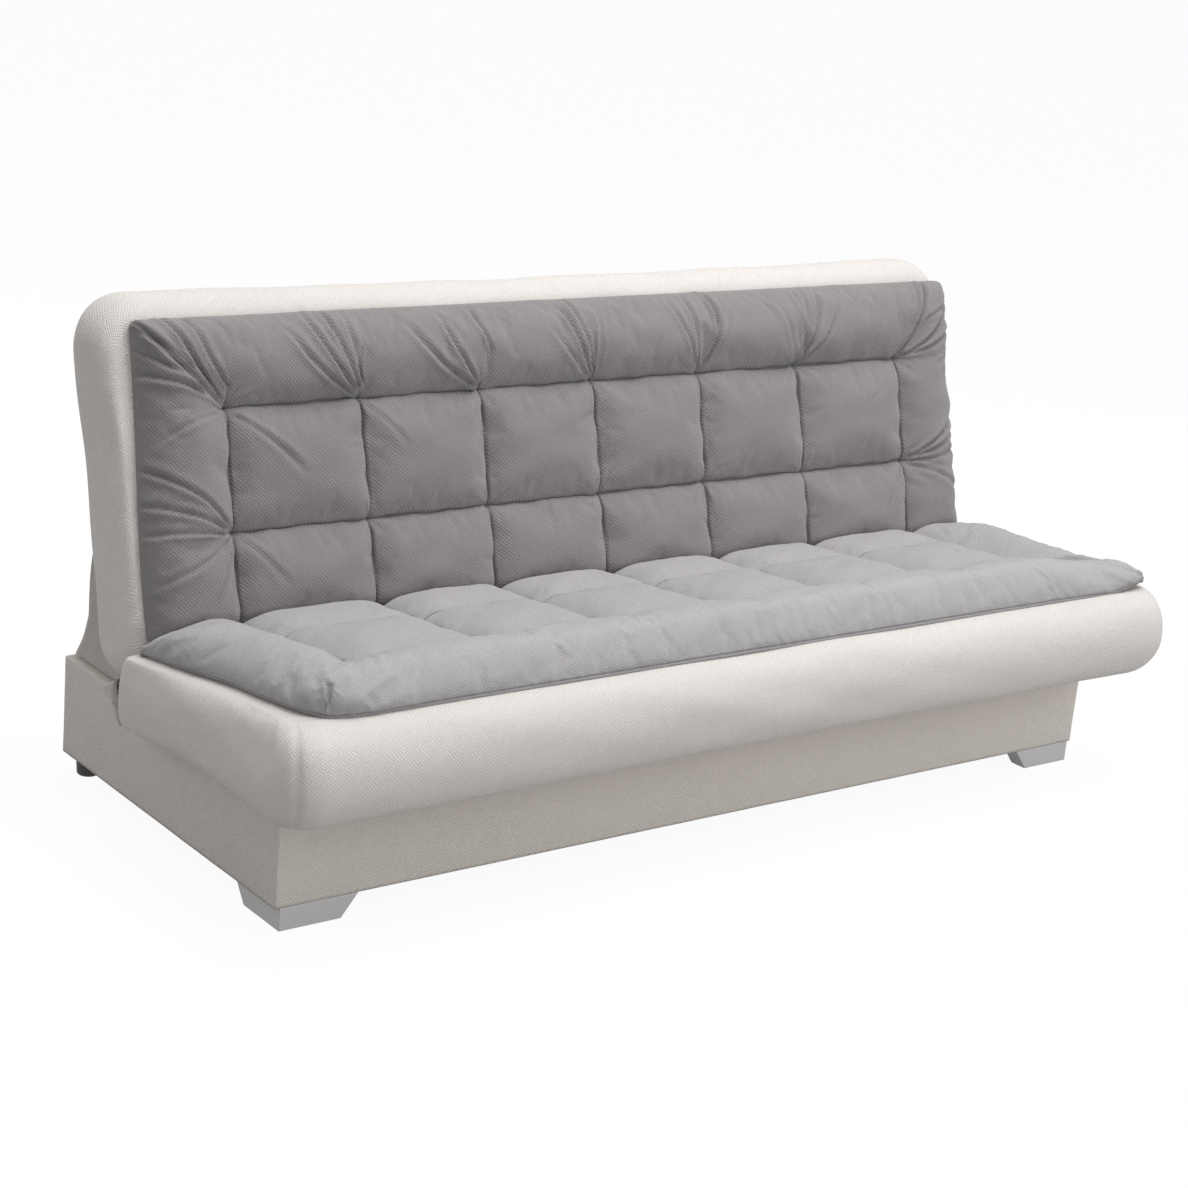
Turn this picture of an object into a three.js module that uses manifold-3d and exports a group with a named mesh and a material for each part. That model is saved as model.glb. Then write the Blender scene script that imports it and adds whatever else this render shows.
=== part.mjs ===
// Click clack sofa bed: a storage box on feet, a seat that lifts and a back that lies down flat.
// Millimetres. +X along the sofa, the front faces -Y, +Z up, origin on the floor at the centre.

import * as THREE from 'three';
import { mergeVertices } from 'three/addons/utils/BufferGeometryUtils.js';
import Module from 'manifold-3d';

const wasm = await Module();
wasm.setup();

// Whole sofa
const overallLength = 1930;
const overallDepth = 883;
const gap = 0.3;
const weldDistance = 0.0001;
const overrun = 5;

// Storage box
const boxLength = 1772;
const boxFrontSetback = 159;
const boxUnderside = 39;
const boxTop = 213;
const boardThickness = 16;
const floorThickness = 4;
const coverThickness = 1.5;
const coverTurnIn = 14;
const glueBlockSide = 38;

// Feet
const footLegX = 112;
const footLegY = 107;
const footWidth = 36;
const footInset = 9;
const footChamfer = 30;
const footWall = 4;
const legRadius = 22;
const legFootRadius = 20;
const legInsetX = 37;
const legInsetY = 29;
const legRim = 3;

// Seat
const seatGap = 0.6;
const seatPlaneHeight = 338.7;
const seatTiltDegrees = 5.5;
const seatRear = 118;
const seatFrontRadius = 105;
const seatRearRadius = 45;
const seatRollFront = 62;
const seatRollEnd = 50;
const seatRollRear = 20;
const seatUnderFront = 70;
const seatUnderEnd = 50;
const seatUnderRear = 12;
const seatDrawIn = 6;

// Back, in its own lying frame: the pivot is the origin, +Y runs to the top edge, +Z is the face
const backHalfLength = 930;
const backNear = -30;
const backFar = 603;
const backUnder = -53;
const backFace = 52;
const backNearRadius = 40;
const backFarRadius = 75;
const backRollEnd = 30;
const backRollNear = 60;
const backRollFar = 51;
const backUnderEnd = 35;
const backUnderNear = 50;
const backUnderFar = 45;
const backDrawIn = 5;
const backLeanDegrees = 15.5;

// Tufted pads
const tuftPitch = 243;
const tuftPitchOuter = 261;
const seatTuftRowPitch = 198;
const backTuftRowPitch = 202;
const tuftColumns = 7;
const seatPadFrontMargin = 151;
const seatPadRearMargin = 133;
const seatRearTuftY = -35;
const backPadNear = 38;
const backPadFar = 552;
const backUpperTuftY = 403;
const padHem = 5;
const padHemWidth = 16;
const padPuff = 50;
const padTuft = 24;
const padSeam = 14;
const padEdgeRun = 62;
const padCorner = 34;
const tuftReach = 46;
const seamReach = 40;

// Frames
const railWidth = 24;
const railHeight = 45;
const seatFrameSetback = 75.5;
const seatFrameRear = 85;
const backFrameNear = 25;
const backFrameFar = 552;
const springWire = 4;
const springWave = 24;
const springWaves = 6;
const springsPerSide = 3;
const firstSpanShare = 0.75;
const endSpanShare = 0.5;
const stepsPerWave = 8;
const wireSides = 5;
const clothThickness = 2;

// Click clack fitting
const plateThickness = 4;
const seatPivotY = 108;
const seatPivotZ = 320;
const backPivotY = 167;
const backPivotZ = 285;
const pinRadius = 5;
const pinHeadRadius = 9;
const pinHeadHeight = 4;
const seatEarRadius = 13;
const backEarRadius = 17;
const housingRadius = 25;
const housingDepth = 8;
const housingWall = 2.5;
const discRadius = 29;
const discHoleCircle = 19;
const screwHoleRadius = 3.5;
const plateFootZ = 92;
const plateFootReach = 58;
const plateNeckRise = 14;
const plateScrewShares = [[0.15, 0.15], [0.85, 0.15], [0.15, 0.8], [0.85, 0.8]];
const armReach = 150;
const armMargin = 5;
const armScrewShares = [0.3, 0.6, 0.9];
const inEarShare = 0.9;
const inDiscShare = 0.8;
const discHoleCount = 3;
const earSides = 24;
const discSides = 32;
const pinSides = 16;
const holeSides = 12;

// Rear skirt
const skirtHalfLength = 874;
const skirtThickness = 2;
const skirtTopDepth = 10;
const skirtTopReach = 236;
const skirtFrontY = 276;
const skirtSag = 10;
const skirtFold = 5;
const skirtFolds = 4;
const skirtSteps = 24;
const gussetSteps = 3;
const skirtLevels = 6;

// Places worked out from the sizes above
const boxFront = -overallDepth / 2 + boxFrontSetback;
const boxRear = overallDepth / 2;
const boxHalf = boxLength / 2;
const boardOuter = boxHalf - coverThickness - gap;
const boardInner = boardOuter - boardThickness;
const boardFront = boxFront + coverThickness + gap;
const boardRear = boxRear - coverThickness - gap;
const boardTop = boxTop - coverThickness - gap;
const seatFront = -overallDepth / 2;
const seatFrameFront = seatFront + seatFrameSetback;
const seatHalf = overallLength / 2;
const seatUnder = boxTop + seatGap;
const seatSlope = Math.tan(THREE.MathUtils.degToRad(seatTiltDegrees));
const plateX = boardInner - gap - plateThickness;
const armX = plateX - gap - plateThickness;
const railInner = plateX;
const frameHalf = railInner + railWidth;
const slotInner = armX - gap - pinHeadHeight - gap;
const slotOuter = plateX + plateThickness + gap + housingDepth + pinHeadHeight / 2 + gap;
const lyingTurn = THREE.MathUtils.degToRad(90 - backLeanDegrees);
const seatPlane = (y) => seatPlaneHeight - y * seatSlope;
const backFacePlane = () => backFace;

// Finishes
const finish = (color, roughness, metalness = 0) => (
  new THREE.MeshStandardMaterial({ color, roughness, metalness })
);
const greyCloth = finish(0x9a9697, 0.95);
const paleGreyCloth = finish(0xa8a5a6, 0.95);
const creamCloth = finish(0xdedad3, 0.95);
const boxCloth = finish(0xb9b2a9, 0.95);
const skirtCloth = finish(0xa9a39b, 0.95);
const chipboard = finish(0xc3a779, 0.8);
const hardboard = finish(0x7a5a3c, 0.85);
const pine = finish(0xd9b889, 0.75);
const silverPlastic = finish(0xb4b5b7, 0.45);
const blackPlastic = finish(0x1c1c1d, 0.5);
const zincSteel = finish(0x9aa0a5, 0.35, 1);
const springSteel = finish(0x6f7478, 0.3, 1);
const blackCloth = finish(0x2a2a2b, 0.95);

const sofa = new THREE.Group();
const base = new THREE.Group();
const seat = new THREE.Group();
const back = new THREE.Group();
back.position.set(0, backPivotY, backPivotZ);
back.rotation.x = lyingTurn;
sofa.add(base, seat, back);

function addPiece(group, name, geometry, material) {
  const mesh = new THREE.Mesh(geometry, material);
  mesh.name = name;
  group.add(mesh);
}

// Joining and cutting

function toManifold(geometry) {
  const bare = geometry.clone();
  bare.deleteAttribute('normal');
  bare.deleteAttribute('uv');
  const merged = mergeVertices(bare, weldDistance);
  const vertProperties = new Float32Array(merged.attributes.position.array);
  const triVerts = new Uint32Array(merged.index.array);
  return new wasm.Manifold(new wasm.Mesh({ numProp: 3, vertProperties, triVerts }));
}

function fromManifold(manifold) {
  const mesh = manifold.getMesh();
  const positions = new Float32Array(mesh.vertProperties);
  const geometry = new THREE.BufferGeometry();
  geometry.setAttribute('position', new THREE.BufferAttribute(positions, 3));
  geometry.setIndex(new THREE.BufferAttribute(new Uint32Array(mesh.triVerts), 1));
  return geometry;
}

function join(...geometries) {
  return fromManifold(geometries.map(toManifold).reduce((whole, part) => whole.add(part)));
}

function cut(geometry, ...cutters) {
  const solid = toManifold(geometry);
  return fromManifold(cutters.map(toManifold).reduce((whole, part) => whole.subtract(part), solid));
}

function mirrored(geometry) {
  const copy = geometry.clone();
  copy.scale(-1, 1, 1);
  const solid = copy.index ? copy : mergeVertices(copy);
  const index = solid.index.array;
  for (let i = 0; i < index.length; i += 3) {
    [index[i], index[i + 1]] = [index[i + 1], index[i]];
  }
  return solid;
}

// Simple solids placed by their low and high corners

function block(x0, x1, y0, y1, z0, z1) {
  const box = new THREE.BoxGeometry(x1 - x0, y1 - y0, z1 - z0);
  box.translate((x0 + x1) / 2, (y0 + y1) / 2, (z0 + z1) / 2);
  return box;
}

// A flat outline in Y and Z carried along X from x0
function plate(outline, x0, thickness) {
  const geometry = new THREE.ExtrudeGeometry(outline, { depth: thickness, bevelEnabled: false });
  const axes = new THREE.Matrix4().set(0, 0, 1, x0, 1, 0, 0, 0, 0, 1, 0, 0, 0, 0, 0, 1);
  return geometry.applyMatrix4(axes);
}

function polygon(points) {
  return new THREE.Shape(points.map(([y, z]) => new THREE.Vector2(y, z)));
}

function discAlongX(radius, x0, x1, y, z, sides) {
  const geometry = new THREE.CylinderGeometry(radius, radius, x1 - x0, sides);
  geometry.rotateZ(-Math.PI / 2);
  return geometry.translate((x0 + x1) / 2, y, z);
}

// Soft mattress
// Rings of a rounded rectangle are stacked from the underside to the top plane. The inset of a ring
// follows a quarter ellipse on each half of the height, and its sides draw in between the corners.

const cornerSteps = 4;
const longSteps = 8;
const shortSteps = 3;
const radiusLossShare = 0.5;

function outlineRing(form, share, draw) {
  const half = form.half - form.endReach * share;
  const front = form.front + form.frontReach * share;
  const rear = form.rear - form.rearReach * share;
  const frontRadius = form.frontRadius - form.endReach * share * radiusLossShare;
  const rearLoss = Math.min(form.endReach, form.rearReach) * radiusLossShare;
  const rearRadius = form.rearRadius - rearLoss * share;
  const points = [];
  const arc = (cx, cy, radius, start) => {
    for (let k = 0; k <= cornerSteps; k += 1) {
      const angle = start + (k / cornerSteps) * Math.PI / 2;
      points.push([cx + radius * Math.cos(angle), cy + radius * Math.sin(angle)]);
    }
  };
  const side = (steps, inwardX, inwardY, from, to) => {
    for (let k = 1; k < steps; k += 1) {
      const t = k / steps;
      const pull = draw * Math.sin(Math.PI * t);
      const x = THREE.MathUtils.lerp(from[0], to[0], t) + inwardX * pull;
      points.push([x, THREE.MathUtils.lerp(from[1], to[1], t) + inwardY * pull]);
    }
  };
  arc(-half + frontRadius, front + frontRadius, frontRadius, Math.PI);
  side(longSteps, 0, 1, [-half + frontRadius, front], [half - frontRadius, front]);
  arc(half - frontRadius, front + frontRadius, frontRadius, 1.5 * Math.PI);
  side(shortSteps, -1, 0, [half, front + frontRadius], [half, rear - rearRadius]);
  arc(half - rearRadius, rear - rearRadius, rearRadius, 0);
  side(longSteps, 0, -1, [half - rearRadius, rear], [-half + rearRadius, rear]);
  arc(-half + rearRadius, rear - rearRadius, rearRadius, 0.5 * Math.PI);
  side(shortSteps, 1, 0, [-half, rear - rearRadius], [-half, front + frontRadius]);
  return points;
}

// Stacks rings into a closed solid. A round ring is capped by a fan, a folded wall by a strip
function closedFromRings(rings, isWall = false) {
  const count = rings[0].length;
  const positions = rings.flat().flat();
  const index = [];
  for (let r = 0; r + 1 < rings.length; r += 1) {
    for (let k = 0; k < count; k += 1) {
      const a = r * count + k;
      const b = r * count + (k + 1) % count;
      index.push(a, b, b + count, a, b + count, a + count);
    }
  }
  [0, rings.length - 1].forEach((r) => {
    const facesDown = r === 0;
    if (isWall) {
      for (let k = 0; k + 1 < count / 2; k += 1) {
        const [a, b] = [r * count + k, r * count + k + 1];
        const [c, d] = [r * count + count - 2 - k, r * count + count - 1 - k];
        index.push(...(facesDown ? [a, c, b, a, d, c] : [a, b, c, a, c, d]));
      }
      return;
    }
    const centre = positions.length / 3;
    const sum = rings[r].reduce((total, p) => total.map((v, i) => v + p[i] / count), [0, 0, 0]);
    positions.push(...sum);
    for (let k = 0; k < count; k += 1) {
      const a = r * count + k;
      const b = r * count + (k + 1) % count;
      index.push(...(facesDown ? [centre, b, a] : [centre, a, b]));
    }
  });
  const geometry = new THREE.BufferGeometry();
  geometry.setAttribute('position', new THREE.Float32BufferAttribute(positions, 3));
  geometry.setIndex(index);
  return geometry;
}

const heightSteps = 4;

function mattress(form) {
  const rings = [];
  for (let k = -heightSteps; k <= heightSteps; k += 1) {
    const angle = (k / heightSteps) * Math.PI / 2;
    const reaches = k < 0 ? form.underReach : form.topReach;
    const draw = form.drawIn * Math.cos(angle);
    const ring = outlineRing({ ...form, ...reaches }, 1 - Math.cos(angle), draw);
    const heightShare = (1 + Math.sin(angle)) / 2;
    const height = (y) => THREE.MathUtils.lerp(form.under, form.top(y), heightShare);
    rings.push(ring.map(([x, y]) => [x, y, height(y)]));
  }
  return closedFromRings(rings);
}

// Tufted pad
// Buttonless tufts stand in rows and columns. Seams join them, and the cloth puffs up between them:
// the height is the puff, less a valley along each seam and a round dip at each tuft, and it falls
// to a flat hem along a quarter ellipse at the edges.

const cellSteps = 6;
const tuftColumnPlaces = Array.from({ length: tuftColumns }, (_, i) => {
  const fromCentre = i - (tuftColumns - 1) / 2;
  const inner = Math.max(Math.abs(fromCentre) - 1, 0);
  const isOuter = Math.abs(fromCentre) > (tuftColumns - 1) / 2 - 1;
  const reach = isOuter ? inner * tuftPitch + tuftPitchOuter : Math.abs(fromCentre) * tuftPitch;
  return Math.sign(fromCentre) * reach;
});

function gridLines(lines) {
  const places = [];
  for (let i = 0; i + 1 < lines.length; i += 1) {
    for (let k = 0; k < cellSteps; k += 1) {
      places.push(THREE.MathUtils.lerp(lines[i], lines[i + 1], k / cellSteps));
    }
  }
  return [...places, lines[lines.length - 1]];
}

function smooth(value, low, high) {
  return THREE.MathUtils.smoothstep(value, Math.min(low, high), Math.max(low, high));
}

// Height of a pad above its underside at one place
function puffHeight(pad, x, y) {
  const columns = tuftColumnPlaces;
  const toColumn = Math.min(...columns.map((c) => Math.abs(x - c)));
  const toRow = Math.min(...pad.rows.map((r) => Math.abs(y - r)));
  const [outerRow, innerRow] = pad.rows;
  const towardInner = Math.sign(innerRow - outerRow);
  const columnSeam = smooth((y - outerRow) * towardInner, -seamReach, 0);
  const lastColumn = columns[tuftColumns - 1];
  const rowSeam = 1 - smooth(Math.abs(x), lastColumn, lastColumn + seamReach);
  const valley = (distance) => Math.exp(-((distance / seamReach) ** 2));
  const seam = Math.max(valley(toColumn) * columnSeam, valley(toRow) * rowSeam);
  const tuft = Math.exp(-((Math.hypot(toColumn, toRow) / tuftReach) ** 2));
  const dip = Math.max(padSeam * seam, (padPuff - padTuft) * tuft);
  const toEdge = Math.min(pad.half - Math.abs(x), y - pad.low, pad.high - y) - padHemWidth;
  const rise = THREE.MathUtils.clamp(toEdge / padEdgeRun, 0, 1);
  const crown = Math.sqrt(1 - (1 - rise) ** 2);
  return padHem + (padPuff - padHem - dip) * crown;
}

// Places near a corner of the grid are drawn onto an arc
function cornerPlace(pad, x, y) {
  const midY = (pad.low + pad.high) / 2;
  const dx = (Math.abs(x) - (pad.half - padCorner)) / padCorner;
  const dy = (Math.abs(y - midY) - ((pad.high - pad.low) / 2 - padCorner)) / padCorner;
  if (dx <= 0 || dy <= 0) return [x, y];
  const rx = dx * Math.sqrt(1 - dy * dy / 2) - dx;
  const ry = dy * Math.sqrt(1 - dx * dx / 2) - dy;
  return [x + Math.sign(x) * rx * padCorner, y + Math.sign(y - midY) * ry * padCorner];
}

function tuftedPad(pad) {
  const xs = gridLines([-pad.half, ...tuftColumnPlaces, pad.half]);
  const ys = gridLines([pad.low, ...[...pad.rows].sort((a, b) => a - b), pad.high]);
  const positions = [];
  const index = [];
  const at = (i, j) => j * xs.length + i;
  ys.forEach((gridY) => xs.forEach((gridX) => {
    const [x, y] = cornerPlace(pad, gridX, gridY);
    positions.push(x, y, pad.under(y) + gap + puffHeight(pad, gridX, gridY));
  }));
  for (let j = 0; j + 1 < ys.length; j += 1) {
    for (let i = 0; i + 1 < xs.length; i += 1) {
      const [a, b, c, d] = [at(i, j), at(i + 1, j), at(i + 1, j + 1), at(i, j + 1)];
      index.push(a, b, c, a, c, d);
    }
  }
  const rim = [];
  for (let i = 0; i + 1 < xs.length; i += 1) rim.push(at(i, 0));
  for (let j = 0; j + 1 < ys.length; j += 1) rim.push(at(xs.length - 1, j));
  for (let i = xs.length - 1; i > 0; i -= 1) rim.push(at(i, ys.length - 1));
  for (let j = ys.length - 1; j > 0; j -= 1) rim.push(at(0, j));
  const first = positions.length / 3;
  rim.forEach((v) => {
    const [x, y] = [positions[3 * v], positions[3 * v + 1]];
    positions.push(x, y, pad.under(y) + gap);
  });
  const midY = (pad.low + pad.high) / 2;
  const centre = positions.length / 3;
  positions.push(0, midY, pad.under(midY) + gap);
  rim.forEach((v, k) => {
    const next = (k + 1) % rim.length;
    index.push(v, first + k, first + next, v, first + next, rim[next]);
    index.push(centre, first + next, first + k);
  });
  const geometry = new THREE.BufferGeometry();
  geometry.setAttribute('position', new THREE.Float32BufferAttribute(positions, 3));
  geometry.setIndex(index);
  return geometry;
}

// Storage box

function buildBox() {
  const floorTop = boxUnderside + floorThickness;
  const endFront = boardFront + boardThickness + gap;
  const endRear = boardRear - boardThickness - gap;
  const board = (x0, x1, y0, y1, under = boxUnderside) => block(x0, x1, y0, y1, under, boardTop);
  const halfBoard = boardThickness / 2;
  const boards = {
    box_front_board: board(-boardOuter, boardOuter, boardFront, boardFront + boardThickness),
    box_rear_board: board(-boardOuter, boardOuter, boardRear - boardThickness, boardRear),
    box_left_board: board(-boardOuter, -boardInner, endFront, endRear),
    box_right_board: board(boardInner, boardOuter, endFront, endRear),
    box_divider: board(-halfBoard, halfBoard, endFront, endRear, floorTop + gap),
  };
  Object.entries(boards).forEach(([name, geometry]) => addPiece(base, name, geometry, chipboard));

  const inner = boardInner - gap;
  const floor = block(-inner, inner, endFront, endRear, boxUnderside, floorTop);
  addPiece(base, 'box_floor_panel', floor, hardboard);

  const blockTop = boardTop - glueBlockSide;
  [['left', -1], ['right', 1]].forEach(([sideName, side]) => {
    [['front', endFront, 1], ['rear', endRear, -1]].forEach(([endName, y, inward]) => {
      const xs = [side * inner, side * (inner - glueBlockSide)].sort((a, b) => a - b);
      const ys = [y, y + inward * glueBlockSide].sort((a, b) => a - b);
      const corner = block(...xs, ...ys, floorTop + gap, blockTop);
      addPiece(base, `box_corner_block_${endName}_${sideName}`, corner, pine);
    });
  });

  // The cover is one sleeve round the four boards, turned in over their top edges
  const sleeve = block(-boxHalf, boxHalf, boxFront, boxRear, boxUnderside, boxTop);
  const boardRoom = block(
    -boardOuter - gap, boardOuter + gap, boardFront - gap, boardRear + gap,
    boxUnderside - overrun, boardTop + gap,
  );
  const mouthHalf = boardOuter - coverTurnIn;
  const mouth = block(
    -mouthHalf, mouthHalf, boardFront + coverTurnIn, boardRear - coverTurnIn,
    boxUnderside - overrun, boxTop + overrun,
  );
  addPiece(base, 'box_cover', cut(sleeve, boardRoom, mouth), boxCloth);
}

// Feet

function cornerFoot() {
  // Right front foot: two arms in an L with slanting ends, hollow from below with one rib an arm
  const x1 = boxHalf - footInset;
  const y0 = boxFront - gap;
  const top = boxUnderside - gap;
  const armAlongX = new THREE.Shape([
    new THREE.Vector2(x1, 0), new THREE.Vector2(x1, top),
    new THREE.Vector2(x1 - footLegX - footChamfer, top), new THREE.Vector2(x1 - footLegX, 0),
  ]);
  const alongX = new THREE.ExtrudeGeometry(armAlongX, { depth: footWidth, bevelEnabled: false });
  alongX.rotateX(Math.PI / 2).translate(0, y0 + footWidth, 0);
  const alongY = plate(polygon([
    [y0, 0], [y0 + footLegY, 0], [y0 + footLegY + footChamfer, top], [y0, top],
  ]), x1 - footWidth, footWidth);
  const body = join(alongX, alongY);
  const ceiling = top - footWall;
  const hollowX = block(x1 - footLegX + footWall, x1 - footWidth - footWall, y0 + footWall,
    y0 + footWidth - footWall, -overrun, ceiling);
  const hollowY = block(x1 - footWidth + footWall, x1 - footWall, y0 + footWidth + footWall,
    y0 + footLegY - footWall, -overrun, ceiling);
  return cut(body, hollowX, hollowY);
}

function roundLeg() {
  const top = boxUnderside - gap;
  const profile = [
    [0, 0], [legFootRadius - legRim, 0], [legFootRadius, legRim], [legRadius, top - legRim],
    [legRadius, top], [0, top],
  ];
  const turned = new THREE.LatheGeometry(profile.map(([r, z]) => new THREE.Vector2(r, z)), earSides);
  return turned.rotateX(Math.PI / 2);
}

function buildFeet() {
  const foot = cornerFoot();
  addPiece(base, 'front_foot_right', foot, silverPlastic);
  addPiece(base, 'front_foot_left', mirrored(foot), silverPlastic);
  [['left', -1], ['right', 1]].forEach(([name, side]) => {
    const leg = roundLeg().translate(side * (boxHalf - legInsetX), boxRear - legInsetY, 0);
    addPiece(base, `rear_leg_${name}`, leg, blackPlastic);
  });
}

// Timber frames: long rails stand between the end rails, and a short rail halves the span

function buildFrame(group, name, front, rear, under, longHalf) {
  const top = under + railHeight;
  const rails = {
    front_rail: block(-longHalf, longHalf, front, front + railWidth, under, top),
    rear_rail: block(-longHalf, longHalf, rear - railWidth, rear, under, top),
    left_rail: block(-frameHalf, -railInner, front, rear, under, top),
    right_rail: block(railInner, frameHalf, front, rear, under, top),
    centre_rail: block(
      -railWidth / 2, railWidth / 2, front + railWidth + gap, rear - railWidth - gap, under, top,
    ),
  };
  Object.entries(rails).forEach(([rail, geometry]) => {
    addPiece(group, `${name}_${rail}`, geometry, pine);
  });
}

function longRailHalf() {
  return armX - gap;
}

// Zigzag spring: one wire that snakes from the front rail to the rear rail

function zigzagSpring(x, z) {
  const start = seatFrameFront + railWidth / 2;
  const end = seatFrameRear - railWidth / 2;
  const points = [];
  const steps = springWaves * stepsPerWave;
  for (let k = 0; k <= steps; k += 1) {
    const t = k / steps;
    const swing = springWave * Math.sin(2 * Math.PI * springWaves * t);
    points.push(new THREE.Vector3(x + swing, THREE.MathUtils.lerp(start, end, t), z));
  }
  const path = new THREE.CatmullRomCurve3(points);
  const wire = new THREE.Shape(Array.from({ length: wireSides }, (_, k) => {
    const angle = (k / wireSides) * 2 * Math.PI;
    return new THREE.Vector2(springWire / 2 * Math.cos(angle), springWire / 2 * Math.sin(angle));
  }));
  return new THREE.ExtrudeGeometry(wire, { steps, extrudePath: path });
}

function buildSeat() {
  const under = seatUnder + gap;
  const railTop = under + railHeight;
  buildFrame(seat, 'seat', seatFrameFront, seatFrameRear, under, longRailHalf());

  const springZ = railTop + gap + springWire / 2;
  const springRoom = springZ + springWire / 2 + gap;
  const spacing = railInner / (springsPerSide + endSpanShare);
  for (let side = -1; side <= 1; side += 2) {
    for (let k = 0; k < springsPerSide; k += 1) {
      const x = side * spacing * (k + firstSpanShare);
      const number = side < 0 ? springsPerSide - k : springsPerSide + k + 1;
      addPiece(seat, `seat_spring_${number}`, zigzagSpring(x, springZ), springSteel);
    }
  }

  const form = {
    half: seatHalf, front: seatFront, rear: seatRear,
    frontRadius: seatFrontRadius, rearRadius: seatRearRadius,
    topReach: { endReach: seatRollEnd, frontReach: seatRollFront, rearReach: seatRollRear },
    underReach: { endReach: seatUnderEnd, frontReach: seatUnderFront, rearReach: seatUnderRear },
    drawIn: seatDrawIn, under: seatUnder, top: seatPlane,
  };
  const pocket = block(-frameHalf - gap, frameHalf + gap, seatFrameFront - gap, seatFrameRear + gap,
    seatUnder - overrun, springRoom);
  const slotTopRear = seatPivotZ + seatEarRadius + overrun;
  const slotOutline = polygon([
    [seatFrameRear - railWidth, seatUnder - overrun], [seatRear + overrun, seatUnder - overrun],
    [seatRear + overrun, slotTopRear], [seatFrameRear + railWidth / 2, slotTopRear],
    [seatFrameRear - railWidth, springRoom + overrun],
  ]);
  const slot = plate(slotOutline, slotInner, slotOuter - slotInner);
  addPiece(seat, 'seat_mattress', cut(mattress(form), pocket, slot, mirrored(slot)), creamCloth);

  const pad = {
    half: seatHalf - seatRollEnd,
    low: seatRearTuftY - seatTuftRowPitch - seatPadFrontMargin + gap,
    high: seatRearTuftY + seatPadRearMargin,
    rows: [seatRearTuftY - seatTuftRowPitch, seatRearTuftY],
    under: seatPlane,
  };
  addPiece(seat, 'seat_topper', tuftedPad(pad), paleGreyCloth);
}

function buildBack() {
  buildFrame(back, 'back', backFrameNear, backFrameFar, backUnder, longRailHalf());
  const form = {
    half: backHalfLength, front: backNear, rear: backFar,
    frontRadius: backNearRadius, rearRadius: backFarRadius,
    topReach: { endReach: backRollEnd, frontReach: backRollNear, rearReach: backRollFar },
    underReach: { endReach: backUnderEnd, frontReach: backUnderNear, rearReach: backUnderFar },
    drawIn: backDrawIn, under: backUnder, top: backFacePlane,
  };

  // The foam is grooved for the frame and slit for the fitting at each end
  const grooveTop = backUnder + railHeight + gap;
  const groove = (x0, x1, y0, y1) => (
    block(x0 - gap, x1 + gap, y0 - gap, y1 + gap, backUnder - overrun, grooveTop)
  );
  const grooves = [
    groove(-frameHalf, frameHalf, backFrameNear, backFrameNear + railWidth),
    groove(-frameHalf, frameHalf, backFrameFar - railWidth, backFrameFar),
    groove(-frameHalf, -armX, backFrameNear, backFrameFar),
    groove(armX, frameHalf, backFrameNear, backFrameFar),
    groove(-railWidth / 2, railWidth / 2, backFrameNear, backFrameFar),
  ];
  const slotFar = backPadNear - gap;
  const slot = block(
    slotInner, slotOuter, backNear - overrun, slotFar, backUnder - overrun, backFace + overrun,
  );
  addPiece(back, 'back_mattress', cut(mattress(form), ...grooves, slot, mirrored(slot)), creamCloth);

  const clothHalf = backHalfLength - backUnderEnd - overrun;
  const rearCloth = block(-clothHalf, clothHalf, backFrameNear + gap, backFar - backUnderFar - overrun,
    backUnder - gap - clothThickness, backUnder - gap);
  addPiece(back, 'back_rear_cloth', rearCloth, blackCloth);

  const pad = {
    half: backHalfLength - backRollEnd,
    low: backPadNear, high: backPadFar,
    rows: [backUpperTuftY, backUpperTuftY - backTuftRowPitch],
    under: backFacePlane,
  };
  addPiece(back, 'back_topper', tuftedPad(pad), greyCloth);
}

// Click clack fitting
// Each end has a base plate on the box side. The seat arm turns on its front ear and the back arm on
// its rear ear, each on a rivet, and a round housing closes the back arm's ratchet.

function holeThrough(y, z, radius) {
  return discAlongX(radius, slotInner, slotOuter, y, z, holeSides);
}

function basePlate() {
  const ear = (radius, y, z) => discAlongX(radius, plateX, plateX + plateThickness, y, z, earSides);
  const front = seatPivotY - seatEarRadius;
  const neckRear = backPivotY + backEarRadius;
  const footRear = backPivotY + plateFootReach;
  const web = plate(polygon([
    [front, plateFootZ], [footRear, plateFootZ], [footRear, boardTop], [neckRear, boardTop + plateNeckRise],
    [neckRear, backPivotZ], [seatPivotY, seatPivotZ], [front, seatPivotZ],
  ]), plateX, plateThickness);
  const screws = plateScrewShares.map(([across, up]) => holeThrough(
    THREE.MathUtils.lerp(front, footRear, across),
    THREE.MathUtils.lerp(plateFootZ, boardTop, up),
    screwHoleRadius,
  ));
  const frontEar = ear(seatEarRadius, seatPivotY, seatPivotZ);
  const rearEar = ear(backEarRadius, backPivotY, backPivotZ);
  const pins = [
    holeThrough(seatPivotY, seatPivotZ, pinRadius + gap),
    holeThrough(backPivotY, backPivotZ, pinRadius + gap),
  ];
  return cut(join(web, frontEar, rearEar), ...screws, ...pins);
}

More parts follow.
